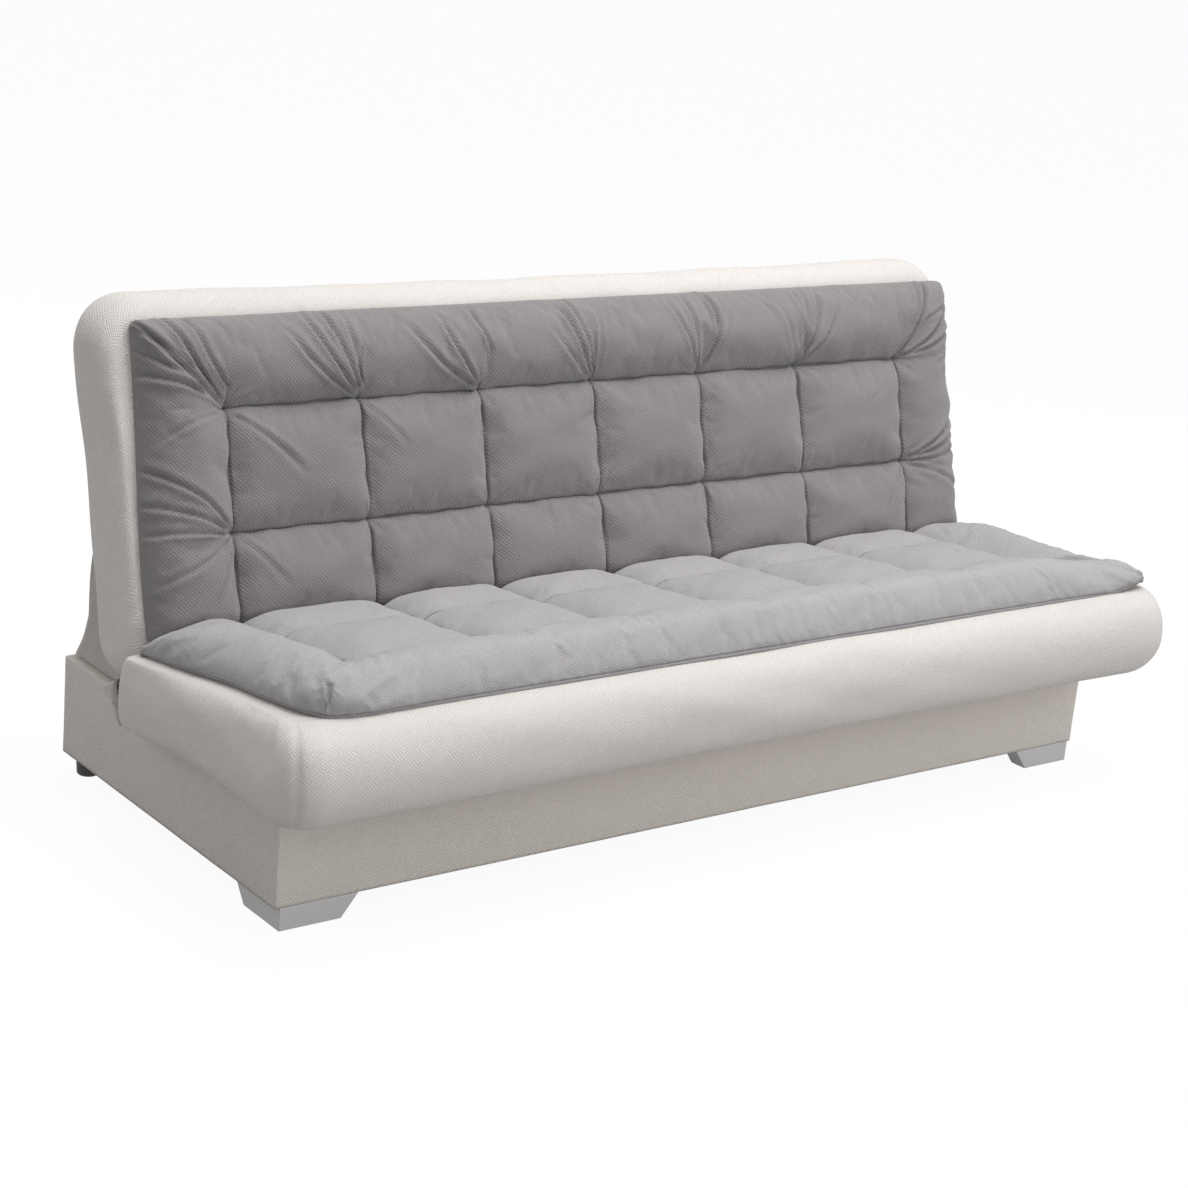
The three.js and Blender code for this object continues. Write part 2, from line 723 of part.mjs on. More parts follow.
function seatArm() {
  const railUnder = seatUnder + gap + armMargin;
  const railTop = seatUnder + gap + railHeight - armMargin;
  const ear = discAlongX(seatEarRadius, armX, armX + plateThickness, seatPivotY, seatPivotZ, earSides);
  const inEar = seatEarRadius * inEarShare;
  const bar = plate(polygon([
    [seatPivotY, seatPivotZ + inEar], [seatFrameRear - railWidth, railTop],
    [seatFrameRear - armReach, railTop], [seatFrameRear - armReach, railUnder],
    [seatFrameRear - armMargin, railUnder], [seatPivotY + inEar, seatPivotZ],
  ]), armX, plateThickness);
  const screws = armScrewShares.map((share) => holeThrough(
    seatFrameRear - armReach * share, (railUnder + railTop) / 2, screwHoleRadius,
  ));
  return cut(join(ear, bar), ...screws, holeThrough(seatPivotY, seatPivotZ, pinRadius + gap));
}

// In the back's lying frame, where the pivot is the origin
function backArm() {
  const railUnder = backUnder + gap + armMargin;
  const railTop = backUnder + railHeight - armMargin;
  const disc = discAlongX(discRadius, armX, armX + plateThickness, 0, 0, discSides);
  const inDisc = discRadius * inDiscShare;
  const bar = plate(polygon([
    [0, inDisc], [-inDisc, 0], [backFrameNear, railUnder], [backFrameNear + armReach, railUnder],
    [backFrameNear + armReach, railTop], [backFrameNear, railTop],
  ]), armX, plateThickness);
  const screws = armScrewShares.map((share) => holeThrough(
    backFrameNear + armReach * share, (railUnder + railTop) / 2, screwHoleRadius,
  ));
  const lightening = Array.from({ length: discHoleCount }, (_, k) => {
    const angle = (k + 1) * Math.PI / 2;
    const [y, z] = [discHoleCircle * Math.cos(angle), discHoleCircle * Math.sin(angle)];
    return holeThrough(y, z, screwHoleRadius);
  });
  return cut(join(disc, bar), ...screws, ...lightening, holeThrough(0, 0, pinRadius + gap));
}

// A shallow cup with its mouth on the base plate and a raised boss round the rivet
function ratchetHousing() {
  const x0 = plateX + plateThickness + gap;
  const x1 = x0 + housingDepth;
  const rim = housingRadius - housingWall;
  const profile = [
    [pinRadius + gap, x1 - housingWall], [rim - housingWall, x1 - housingWall],
    [rim, x1 - 2 * housingWall], [rim, x0], [housingRadius, x0], [housingRadius, x1 - housingWall],
    [rim, x1 - gap],
    [pinHeadRadius + housingWall, x1 - gap], [pinHeadRadius, x1 - housingWall / 2],
    [pinRadius + gap, x1 - housingWall / 2], [pinRadius + gap, x1 - housingWall],
  ];
  const cup = new THREE.LatheGeometry(profile.map(([r, x]) => new THREE.Vector2(r, x)), earSides);
  return cup.rotateZ(-Math.PI / 2).translate(0, backPivotY, backPivotZ);
}

// One rivet with a head inside the arm and a formed end outside, turned about X
function rivet(y, z, outerX) {
  const headIn = armX - gap;
  const endRadius = pinHeadRadius - pinHeadHeight / 2;
  const profile = [
    [0, headIn - pinHeadHeight], [endRadius, headIn - pinHeadHeight],
    [pinHeadRadius, headIn - pinHeadHeight / 2], [pinHeadRadius, headIn], [pinRadius, headIn],
    [pinRadius, outerX], [endRadius, outerX], [endRadius, outerX + pinHeadHeight / 2],
    [0, outerX + pinHeadHeight / 2],
  ];
  const turned = new THREE.LatheGeometry(profile.map(([r, x]) => new THREE.Vector2(r, x)), pinSides);
  return turned.rotateZ(-Math.PI / 2).translate(0, y, z);
}

function buildFittings() {
  const plateOuter = plateX + plateThickness + gap;
  const bossFace = plateOuter + housingDepth - housingWall / 2 + gap;
  const pieces = [
    [base, 'base_plate', basePlate()],
    [base, 'ratchet_housing', ratchetHousing()],
    [base, 'seat_pivot_rivet', rivet(seatPivotY, seatPivotZ, plateOuter)],
    [base, 'back_pivot_rivet', rivet(backPivotY, backPivotZ, bossFace)],
    [seat, 'seat_arm', seatArm()],
    [back, 'back_arm', backArm()],
  ];
  pieces.forEach(([group, name, geometry]) => {
    addPiece(group, `${name}_right`, geometry, zincSteel);
    addPiece(group, `${name}_left`, mirrored(geometry), zincSteel);
  });
}

// Rear skirt
// Cloth hangs from the back's rear face to the box's edge, with a gusset at each end. Each level is a
// U in plan, open to the front; the rear run sags inwards between its ends and carries soft folds.

function skirtRing(share) {
  const onBack = (reach) => {
    const under = backUnder - gap - clothThickness - gap;
    return {
      y: backPivotY + reach * Math.cos(lyingTurn) - under * Math.sin(lyingTurn),
      z: backPivotZ + reach * Math.sin(lyingTurn) + under * Math.cos(lyingTurn),
    };
  };
  const top = onBack(skirtTopReach);
  const corner = onBack(backFrameNear);
  const bottomZ = boxTop + gap;
  const z = THREE.MathUtils.lerp(bottomZ, top.z, share);
  const below = THREE.MathUtils.clamp((z - bottomZ) / (corner.z - bottomZ), 0, 1);
  const above = THREE.MathUtils.clamp((z - corner.z) / (top.z - corner.z), 0, 1);
  const front = z < corner.z
    ? THREE.MathUtils.lerp(skirtFrontY, corner.y, below)
    : THREE.MathUtils.lerp(corner.y, top.y, above);
  const bulge = Math.sin(Math.PI * share);
  const straight = THREE.MathUtils.lerp(boxRear - coverThickness, top.y + skirtTopDepth, share);
  const rear = straight - skirtSag * bulge;
  const path = [];
  for (let k = 0; k <= gussetSteps; k += 1) {
    path.push([skirtHalfLength, THREE.MathUtils.lerp(front, rear, k / gussetSteps), 1, 0]);
  }
  path[gussetSteps][3] = 1;
  for (let k = 1; k < skirtSteps; k += 1) {
    const t = k / skirtSteps;
    const fold = skirtFold * bulge * Math.sin(skirtFolds * 2 * Math.PI * t);
    const x = THREE.MathUtils.lerp(skirtHalfLength, -skirtHalfLength, t);
    path.push([x, rear - Math.abs(fold), 0, 1]);
  }
  for (let k = 0; k <= gussetSteps; k += 1) {
    path.push([-skirtHalfLength, THREE.MathUtils.lerp(rear, front, k / gussetSteps), -1, k === 0 ? 1 : 0]);
  }
  const outer = path.map(([x, y]) => [x, y, z]);
  const inner = path.map(([x, y, nx, ny]) => [x - nx * skirtThickness, y - ny * skirtThickness, z]);
  return [...outer, ...inner.reverse()];
}

function buildSkirt() {
  const rings = [];
  for (let k = 0; k <= skirtLevels; k += 1) rings.push(skirtRing(k / skirtLevels));
  addPiece(base, 'rear_skirt', closedFromRings(rings, true), skirtCloth);
}

buildBox();
buildFeet();
buildSeat();
buildBack();
buildFittings();
buildSkirt();

export default sofa;
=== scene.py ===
# Click clack sofa bed: soft pieces, finishes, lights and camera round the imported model.
import itertools
import math
from functools import partial

import bpy
import numpy as np
from mathutils import Matrix, Vector


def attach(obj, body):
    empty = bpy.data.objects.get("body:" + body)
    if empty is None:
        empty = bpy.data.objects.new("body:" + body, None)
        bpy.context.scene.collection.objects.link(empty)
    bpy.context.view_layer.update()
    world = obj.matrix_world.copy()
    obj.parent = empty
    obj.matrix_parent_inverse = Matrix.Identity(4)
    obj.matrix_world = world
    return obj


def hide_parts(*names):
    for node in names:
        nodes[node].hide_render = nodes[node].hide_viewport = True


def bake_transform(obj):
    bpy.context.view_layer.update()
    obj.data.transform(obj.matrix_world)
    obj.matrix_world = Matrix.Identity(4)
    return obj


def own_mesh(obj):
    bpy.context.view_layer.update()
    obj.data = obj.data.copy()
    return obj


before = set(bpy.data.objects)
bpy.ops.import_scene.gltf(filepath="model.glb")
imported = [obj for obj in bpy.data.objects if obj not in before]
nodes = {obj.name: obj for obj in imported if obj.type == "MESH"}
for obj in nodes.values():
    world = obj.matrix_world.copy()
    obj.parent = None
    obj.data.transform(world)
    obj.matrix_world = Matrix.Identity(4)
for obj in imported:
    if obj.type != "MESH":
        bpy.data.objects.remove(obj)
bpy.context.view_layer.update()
scene = bpy.context.scene
print("stage: frame loaded")

# Camera: the photograph's place, turned by yaw, pitch and roll
cameraView = dict(
    place=(-2.7310, -3.2734, 1.6597),
    yaw=0.6772,
    pitch=0.2990,
    roll=-0.0949,
    focalPixels=2516.9,
    imagePixels=1188,
    sensor=36.0,
)


def makeCamera(look):
    # forward is turned from +Y towards +X, then down; the picture's right is turned by the roll
    yaw, pitch, roll = look["yaw"], look["pitch"], look["roll"]
    forward = Vector((math.sin(yaw) * math.cos(pitch), math.cos(yaw) * math.cos(pitch), -math.sin(pitch)))
    right = Vector((math.cos(yaw), -math.sin(yaw), 0))
    down = forward.cross(right)
    pictureRight = math.cos(roll) * right + math.sin(roll) * down
    pictureDown = -math.sin(roll) * right + math.cos(roll) * down
    camera = bpy.data.cameras.new("sofaCamera")
    camera.sensor_width = look["sensor"]
    camera.lens = look["focalPixels"] / look["imagePixels"] * look["sensor"]
    camera.clip_end = 200
    holder = bpy.data.objects.new("sofaCamera", camera)
    axes = Matrix((pictureRight, -pictureDown, -forward)).transposed().to_4x4()
    holder.matrix_world = Matrix.Translation(look["place"]) @ axes
    scene.collection.objects.link(holder)
    scene.camera = holder


makeCamera(cameraView)

# Sizes repeated from the CAD source, in metres
seatPlaneHeight, seatSlope, backPlaneHeight = 0.3387, math.tan(math.radians(5.5)), 0.052
backPivot, lyingTurn = (0.167, 0.285), math.radians(74.5)
tuftColumns = (-0.747, -0.486, -0.243, 0, 0.243, 0.486, 0.747)


def seatPlane(y):
    return seatPlaneHeight - y * seatSlope


def backPlane(y):
    return backPlaneHeight + 0 * y


def awayFrom(values, lines):
    # the distance from each value to the nearest line
    return np.min(np.abs(values[..., None] - np.array(lines)), axis=-1)


def standUp(points):
    # turns points from the back's lying frame to where the back stands
    x, y, z = points[..., 0], points[..., 1], points[..., 2]
    c, s = math.cos(lyingTurn), math.sin(lyingTurn)
    return np.stack([x, backPivot[0] + y * c - z * s, backPivot[1] + y * s + z * c], -1)


def asIs(points):
    return points


# Mesh code shared by all pieces


def meshObject(name, points, faceSets, uvSets, body, material):
    # puts whole arrays of corners, faces and UVs into one mesh, turned outwards by its volume
    points = np.asarray(points, float).reshape(-1, 3)
    volume = 0.0
    for faces in faceSets:
        for k in range(1, faces.shape[1] - 1):
            a, b, c = points[faces[:, 0]], points[faces[:, k]], points[faces[:, k + 1]]
            volume += (a * np.cross(b, c)).sum()
    if volume < 0:
        faceSets, uvSets = [f[:, ::-1] for f in faceSets], [u[:, ::-1] for u in uvSets]
    loops = np.concatenate([f.ravel() for f in faceSets])
    totals = np.concatenate([np.full(len(f), f.shape[1]) for f in faceSets])
    starts = np.concatenate([[0], np.cumsum(totals)[:-1]])
    mesh = bpy.data.meshes.new(name)
    mesh.vertices.add(len(points))
    mesh.loops.add(len(loops))
    mesh.polygons.add(len(totals))
    mesh.vertices.foreach_set("co", points.astype(np.float32).ravel())
    mesh.loops.foreach_set("vertex_index", loops.astype(np.int32))
    mesh.polygons.foreach_set("loop_start", starts.astype(np.int32))
    mesh.polygons.foreach_set("use_smooth", np.full(len(totals), True))
    layer = mesh.uv_layers.new(name="clothMap")
    layer.data.foreach_set("uv", np.concatenate([u.reshape(-1, 2) for u in uvSets]).astype(np.float32).ravel())
    mesh.update(calc_edges=True)
    mesh.validate()
    piece = bpy.data.objects.new(name, mesh)
    scene.collection.objects.link(piece)
    mesh.materials.append(material)
    if body:
        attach(piece, body)
    return piece


def gridFaces(points, u, v, closed=False):
    # quads of a grid of rows and columns, and the UV of each of their corners
    rows, columns = points.shape[:2]
    r = np.arange(rows - 1)[:, None]
    c = np.arange(columns if closed else columns - 1)[None]
    corners = [(r, c), (r, c + 1), (r + 1, c + 1), (r + 1, c)]
    faces = np.stack([rr * columns + cc % columns + 0 * (r + c) for rr, cc in corners], -1)
    maps = np.stack([np.stack([u[rr, cc], v[rr, cc]], -1) for rr, cc in corners], -2)
    return faces.reshape(-1, 4), maps.reshape(-1, 4, 2)


def fanFaces(ring, centre, points):
    # a fan from one centre to a closed ring, mapped flat from above
    following = np.roll(ring, -1)
    faces = np.stack([np.full(len(ring), centre), ring, following], -1)
    return faces, points[faces][..., :2]


def denseLines(low, high, anchors, step, fineStep, reach):
    # places along one direction, spaced by step and drawn together near each anchor
    fine = np.linspace(low, high, 6000)
    spacing = step - (step - fineStep) * np.exp(-((awayFrom(fine, anchors) / reach) ** 2))
    run = np.concatenate([[0], np.cumsum(np.diff(fine) / ((spacing[1:] + spacing[:-1]) / 2))])
    return np.interp(np.linspace(0, run[-1], int(round(run[-1])) + 1), run, fine)


def runAlong(points):
    # the length run from a line's first point to each of its points
    return np.concatenate([[0], np.cumsum(np.linalg.norm(np.diff(points, axis=0), axis=1))])


def sheetPiece(name, points, u, v, body, finish, thickness, offset=0, closed=False):
    # a grid of points as a cloth with a thickness
    faces, maps = gridFaces(points, u, v, closed)
    piece = meshObject(name, points, [faces], [maps], body, finishes[finish])
    solid = piece.modifiers.new("clothThickness", "SOLIDIFY")
    solid.thickness, solid.offset = thickness, offset
    return piece


def paintCreaseShade(piece, paintedShades):
    # painted shade: the attribute by which the cloth's material darkens in seams, creases and fold valleys
    layer = piece.data.attributes.new("paintedCreaseShade", "FLOAT", "POINT")
    layer.data.foreach_set("value", paintedShades.astype(np.float32))


def smoothStep(value, low, high):
    t = np.clip((value - low) / (high - low), 0, 1)
    return t * t * (3 - 2 * t)


def waves(x, y, seed, count, shortest, longest):
    # soft unevenness: a sum of plane waves with seeded directions, lengths and phases
    pick = np.random.default_rng(seed)
    total = np.zeros(np.broadcast(x, y).shape)
    for _ in range(count):
        turn, phase = pick.uniform(0, math.pi), pick.uniform(0, 2 * math.pi)
        length = pick.uniform(shortest, longest)
        total += np.sin((x * math.cos(turn) + y * math.sin(turn)) * 2 * math.pi / length + phase)
    return total / math.sqrt(count)


# Shader nodes. The groups put out only values that change over the surface


def addNode(tree, kind, inputs={}, **settings):
    # a node with its settings and its inputs; an input given as a socket is linked
    node = tree.nodes.new("ShaderNode" + kind)
    for name, value in settings.items():
        setattr(node, name, value)
    for place, value in inputs.items():
        if isinstance(value, bpy.types.NodeSocket):
            tree.links.new(value, node.inputs[place])
        else:
            node.inputs[place].default_value = value
    return node


def addMath(tree, operation, first, second=0.0, third=0.0):
    return addNode(tree, "Math", {0: first, 1: second, 2: third}, operation=operation).outputs[0]


def addNoise(tree, vector, scale, detail=2.0, roughness=0.5):
    inputs = {"Vector": vector, "Scale": scale, "Detail": detail, "Roughness": roughness}
    return addNode(tree, "TexNoise", inputs).outputs["Fac"]


def newGroup(name, inputs, outputs):
    # a group that takes a vector and the named numbers, and a function that fills its named outputs
    group = bpy.data.node_groups.new(name, "ShaderNodeTree")
    group.interface.new_socket(name="Vector", in_out="INPUT", socket_type="NodeSocketVector")
    for label, value in inputs.items():
        made = group.interface.new_socket(name=label, in_out="INPUT", socket_type="NodeSocketFloat")
        made.default_value = value
    for label in outputs:
        group.interface.new_socket(name=label, in_out="OUTPUT", socket_type="NodeSocketFloat")
    given, out = group.nodes.new("NodeGroupInput").outputs, group.nodes.new("NodeGroupOutput").inputs
    return group, given, lambda label, value: group.links.new(value, out[label])


def twillGroup():
    # ribs: the sine of (x + y) over the rib; threads: the sine of (x - y) over it. One noise moves x,
    # a broad one lets ribs or threads prevail, a fine one breaks both, and the tone follows the height
    group, given, put = newGroup("twillWeave", {"Rib": 0.005, "Depth": 0.5}, ["Height", "Tone"])
    calc, vector = partial(addMath, group), given["Vector"]
    place = addNode(group, "SeparateXYZ", {0: vector}).outputs
    wander = calc("SUBTRACT", addNoise(group, vector, 60.0, 4.0, 0.65), 0.5)
    x, y = calc("MULTIPLY_ADD", wander, 0.010, place[0]), place[1]
    turns = calc("DIVIDE", 2 * math.pi * 0.7071, given["Rib"])
    ribs = calc("SINE", calc("MULTIPLY", calc("ADD", x, y), turns))
    threads = calc("SINE", calc("MULTIPLY", calc("SUBTRACT", x, y), calc("MULTIPLY", turns, 1.18)))
    patches = calc("SUBTRACT", addNoise(group, vector, 38.0), 0.5)
    clear = calc("MINIMUM", calc("MAXIMUM", calc("MULTIPLY_ADD", patches, 2.4, 0.5), 0.22), 0.78)
    both = calc("MULTIPLY_ADD", calc("SUBTRACT", ribs, threads), clear, threads)
    fluff = calc("SUBTRACT", addNoise(group, vector, 520.0), 0.5)
    height = calc("MULTIPLY_ADD", fluff, 3.0, both)
    put("Height", height)
    put("Tone", calc("MULTIPLY", height, given["Depth"]))
    return group


def napGroup():
    # nap: two noises of the cloth's own scale, centred on nothing, for its uneven shade
    group, given, put = newGroup("napShade", {"Amount": 0.1}, ["Shade"])
    broad, small = addNoise(group, given["Vector"], 7.0, 3.0, 0.6), addNoise(group, given["Vector"], 60.0)
    centred = addMath(group, "SUBTRACT", addMath(group, "MULTIPLY_ADD", small, 0.5, broad), 0.75)
    put("Shade", addMath(group, "MULTIPLY", centred, given["Amount"]))
    return group


def grainGroup():
    # wood: rings are a wave across the board stretched along it, with fine pores on top
    group, given, put = newGroup("boardGrain", {"Ring": 40.0}, ["Ring", "Pore"])
    inputs = {"Vector": given["Vector"], "Scale": given["Ring"], "Distortion": 6.0, "Detail Scale": 0.6}
    wave = addNode(group, "TexWave", {**inputs, "Detail": 2.0}, wave_type="BANDS", bands_direction="Y")
    put("Ring", wave.outputs["Fac"])
    put("Pore", addNoise(group, given["Vector"], 300.0, 3.0))
    return group


def wearGroup():
    # handling marks: a broad noise makes soft patches, and a fine one scratches
    group, given, put = newGroup("handlingMarks", {"Amount": 0.2}, ["Mark", "Scratch"])
    broad = addMath(group, "SUBTRACT", addNoise(group, given["Vector"], 14.0, 4.0, 0.65), 0.5)
    put("Mark", addMath(group, "MULTIPLY", broad, given["Amount"]))
    put("Scratch", addNoise(group, given["Vector"], 700.0))
    return group


twillWeave, napShade, boardGrain, handlingMarks = twillGroup(), napGroup(), grainGroup(), wearGroup()


def placeGroup(tree, group, vector, **values):
    return addNode(tree, "Group", {"Vector": vector, **values}, node_tree=group).outputs


def linear(colour, factor=1.0):
    # a display colour of 0 to 255 as the scene-linear colour a shader takes, made lighter or darker
    c = np.array(colour) / 255
    c = np.where(c <= 0.04045, c / 12.92, ((c + 0.055) / 1.055) ** 2.4)
    return tuple(float(x) for x in np.minimum(c * factor, 1)) + (1.0,)


def newMaterial(name, roughness, specular=0.5, metallic=0.0, sheen=0.0):
    material = bpy.data.materials.new(name)
    material.use_nodes = True
    shader = material.node_tree.nodes["Principled BSDF"]
    values = {"Roughness": roughness, "Specular IOR Level": specular, "Metallic": metallic}
    for label, value in {**values, "Sheen Weight": sheen, "Sheen Roughness": 0.6}.items():
        shader.inputs[label].default_value = value
    return material, material.node_tree, shader


def finishSurface(tree, shader, share, light, dark, height, depth):
    # the base colour goes from light to dark by the share, and the height makes a bump
    colour = addNode(tree, "Mix", {0: share, 6: light, 7: dark}, data_type="RGBA")
    tree.links.new(colour.outputs[2], shader.inputs["Base Color"])
    bump = addNode(tree, "Bump", {"Strength": 1.0, "Distance": depth, "Height": height})
    tree.links.new(bump.outputs["Normal"], shader.inputs["Normal"])


def wovenCloth(name, colour, rib=0.005, weave=0.14, nap=0.12, bump=0.0004, sheen=0.25, paintedCreases=False):
    # colour: the plain shade, darkened in the weave's valleys, where the nap lies over, and with painted shade in seams
    # and creases by the mesh's own paintedCreaseShade
    material, tree, shader = newMaterial(name, 0.95, 0.25, 0.0, sheen)
    vector = addNode(tree, "UVMap", uv_map="clothMap").outputs["UV"]
    twill = placeGroup(tree, twillWeave, vector, Rib=rib, Depth=weave)
    shade = placeGroup(tree, napShade, vector, Amount=nap)
    share = addMath(tree, "SUBTRACT", 0.42, addMath(tree, "ADD", twill["Tone"], shade["Shade"]))
    # painted shade: the mesh's attribute darkens the cloth along seams and in creases, where shade falls
    if paintedCreases:
        paintedShade = addNode(tree, "Attribute", attribute_name="paintedCreaseShade")
        share = addMath(tree, "ADD", share, paintedShade.outputs["Fac"])
    finishSurface(tree, shader, share, linear(colour, 1.22), linear(colour, 0.72), twill["Height"], bump)
    return material


def woodFinish(name, pale, dark, along):
    # colour: from pale to dark by the ring wave, with the pores taking a little of it away
    material, tree, shader = newMaterial(name, 0.72, 0.35)
    place = addNode(tree, "TexCoord").outputs["Object"]
    stretch = [0.08 if axis == along else 1.0 for axis in "XYZ"]
    board = addNode(tree, "Mapping", {"Vector": place, "Scale": stretch}).outputs["Vector"]
    grain = placeGroup(tree, boardGrain, board, Ring=60.0)
    share = addMath(tree, "MULTIPLY", grain["Ring"], grain["Pore"])
    finishSurface(tree, shader, share, linear(pale), linear(dark), grain["Pore"], 0.0002)
    return material


def chipFinish(name, pale, dark, scale):
    # colour: flat chips from a cell pattern, each with its own shade between pale and dark
    material, tree, shader = newMaterial(name, 0.8, 0.3)
    place = addNode(tree, "TexCoord").outputs["Object"]
    cells = addNode(tree, "TexVoronoi", {"Vector": place, "Scale": scale}).outputs
    share = addNode(tree, "SeparateColor", {0: cells["Color"]}).outputs[0]
    finishSurface(tree, shader, share, linear(pale), linear(dark), cells["Distance"], 0.0003)
    return material


def hardFinish(name, colour, roughness, metallic=0.0, marks=0.25, texture=0.00006):
    # colour: the plain shade, a little lighter or darker in handling marks, which also change its gloss
    material, tree, shader = newMaterial(name, roughness, 0.5, metallic)
    place = addNode(tree, "TexCoord").outputs["Object"]
    wear = placeGroup(tree, handlingMarks, place, Amount=marks)
    share = addMath(tree, "ADD", wear["Mark"], 0.45)
    finishSurface(tree, shader, share, linear(colour, 1.15), linear(colour, 0.8), wear["Scratch"], texture)
    gloss = addMath(tree, "MULTIPLY_ADD", wear["Mark"], 0.8, roughness)
    tree.links.new(gloss, shader.inputs["Roughness"])
    return material


pine = dict(pale=(222, 190, 142), dark=(178, 134, 86))
# backGrey, seatGrey and creamPleat carry painted shade in their seams, creases and folds
finishes = dict(
    backGrey=wovenCloth("backGreyCloth", (134, 129.5, 130.5), weave=0.26, sheen=0.3, paintedCreases=True),
    seatGrey=wovenCloth("seatGreyCloth", (175, 172, 174), weave=0.18, sheen=0.3, paintedCreases=True),
    cream=wovenCloth("creamCloth", (222, 217, 213), weave=0.13, nap=0.06, sheen=0.15),
    creamPleat=wovenCloth("creamPleatCloth", (222, 217, 213), weave=0.13, nap=0.06, sheen=0.15, paintedCreases=True),
    boxBeige=wovenCloth("boxCloth", (228, 221, 214), rib=0.0042, weave=0.17, nap=0.10, sheen=0.1),
    skirt=wovenCloth("skirtCloth", (198, 193, 188), rib=0.0042, weave=0.08, nap=0.08, sheen=0.1),
    dustCloth=wovenCloth("dustCloth", (46, 45, 46), rib=0.0025, weave=0.1, nap=0.3, bump=0.0002, sheen=0.05),
    pineX=woodFinish("pineLong", **pine, along="X"),
    pineY=woodFinish("pineCross", **pine, along="Y"),
    pineZ=woodFinish("pineBlock", **pine, along="Z"),
    chipboard=chipFinish("chipboard", (206, 178, 132), (160, 126, 84), 320.0),
    hardboard=chipFinish("hardboard", (138, 104, 72), (112, 80, 54), 900.0),
    silver=hardFinish("silverPlastic", (208, 207, 207), 0.42),
    black=hardFinish("blackPlastic", (30, 30, 32), 0.5, marks=0.4),
    zinc=hardFinish("zincSteel", (176, 180, 184), 0.34, 1.0, marks=0.5, texture=0.00003),
    spring=hardFinish("springSteel", (120, 124, 128), 0.3, 1.0, marks=0.6, texture=0.00002),
)
print("stage: finishes made")

# Mattresses: rings of a rounded rectangle stacked from the top plane, over the roll, round the
# underside and up into the pocket that holds the timber frame
mattressLook = dict(wrinkle=0.0020, seams=(9, 177), rollSteps=41)
seatMattressLook = dict(
    mattressLook, half=0.965, front=-0.4415, rear=0.118, frontRadius=(0.058, 0.086), rearRadius=0.030,
    squareRear=0.72, hang=0.0, topReach=(0.040, 0.076, 0.018), underReach=(0.042, 0.070, 0.012), drawIn=0.006,
    squareRoll=0.80, under=0.2136, top=seatPlane, pocket=(0.8882, -0.3663, 0.0853), ceiling=0.2637, seed=11,
)
backMattressLook = dict(
    mattressLook, half=0.936, front=-0.030, rear=0.603, frontRadius=(0.055, 0.055), rearRadius=0.080,
    squareRear=0.0, hang=0.027, topReach=(0.026, 0.060, 0.051), underReach=(0.030, 0.050, 0.045), drawIn=0.005,
    squareRoll=1.0, under=-0.053, top=backPlane, pocket=(0.8882, 0.0247, 0.5523), ceiling=-0.0077, seed=12,
)


def outlineRing(half, front, rear, frontRadius, rearRadius, draw, cornerSteps=18, longSteps=150, shortSteps=36):
    # a rounded rectangle: four quarter arcs joined by sides that pull in between the corners
    def arc(cx, cy, radius, start):
        angle = start + np.linspace(0, math.pi / 2, cornerSteps + 1)
        return np.stack([cx + radius * np.cos(angle), cy + radius * np.sin(angle)], -1)

    def side(steps, inward, start, end):
        t = np.linspace(0, 1, steps + 1)[1:-1, None]
        line = np.array(start) * (1 - t) + np.array(end) * t
        return line + np.array(inward) * draw * np.sin(math.pi * t)

    f, g, r = *frontRadius, rearRadius
    return np.concatenate([
        arc(-half + f, front + f, f, math.pi),
        side(longSteps, (0, 1), (-half + f, front), (half - g, front)),
        arc(half - g, front + g, g, 1.5 * math.pi),
        side(shortSteps, (-1, 0), (half, front + g), (half, rear - r)),
        arc(half - r, rear - r, r, 0),
        side(longSteps, (0, -1), (half - r, rear), (-half + r, rear)),
        arc(-half + r, rear - r, r, 0.5 * math.pi),
        side(shortSteps, (1, 0), (-half, rear - r), (-half, front + f)),
    ])


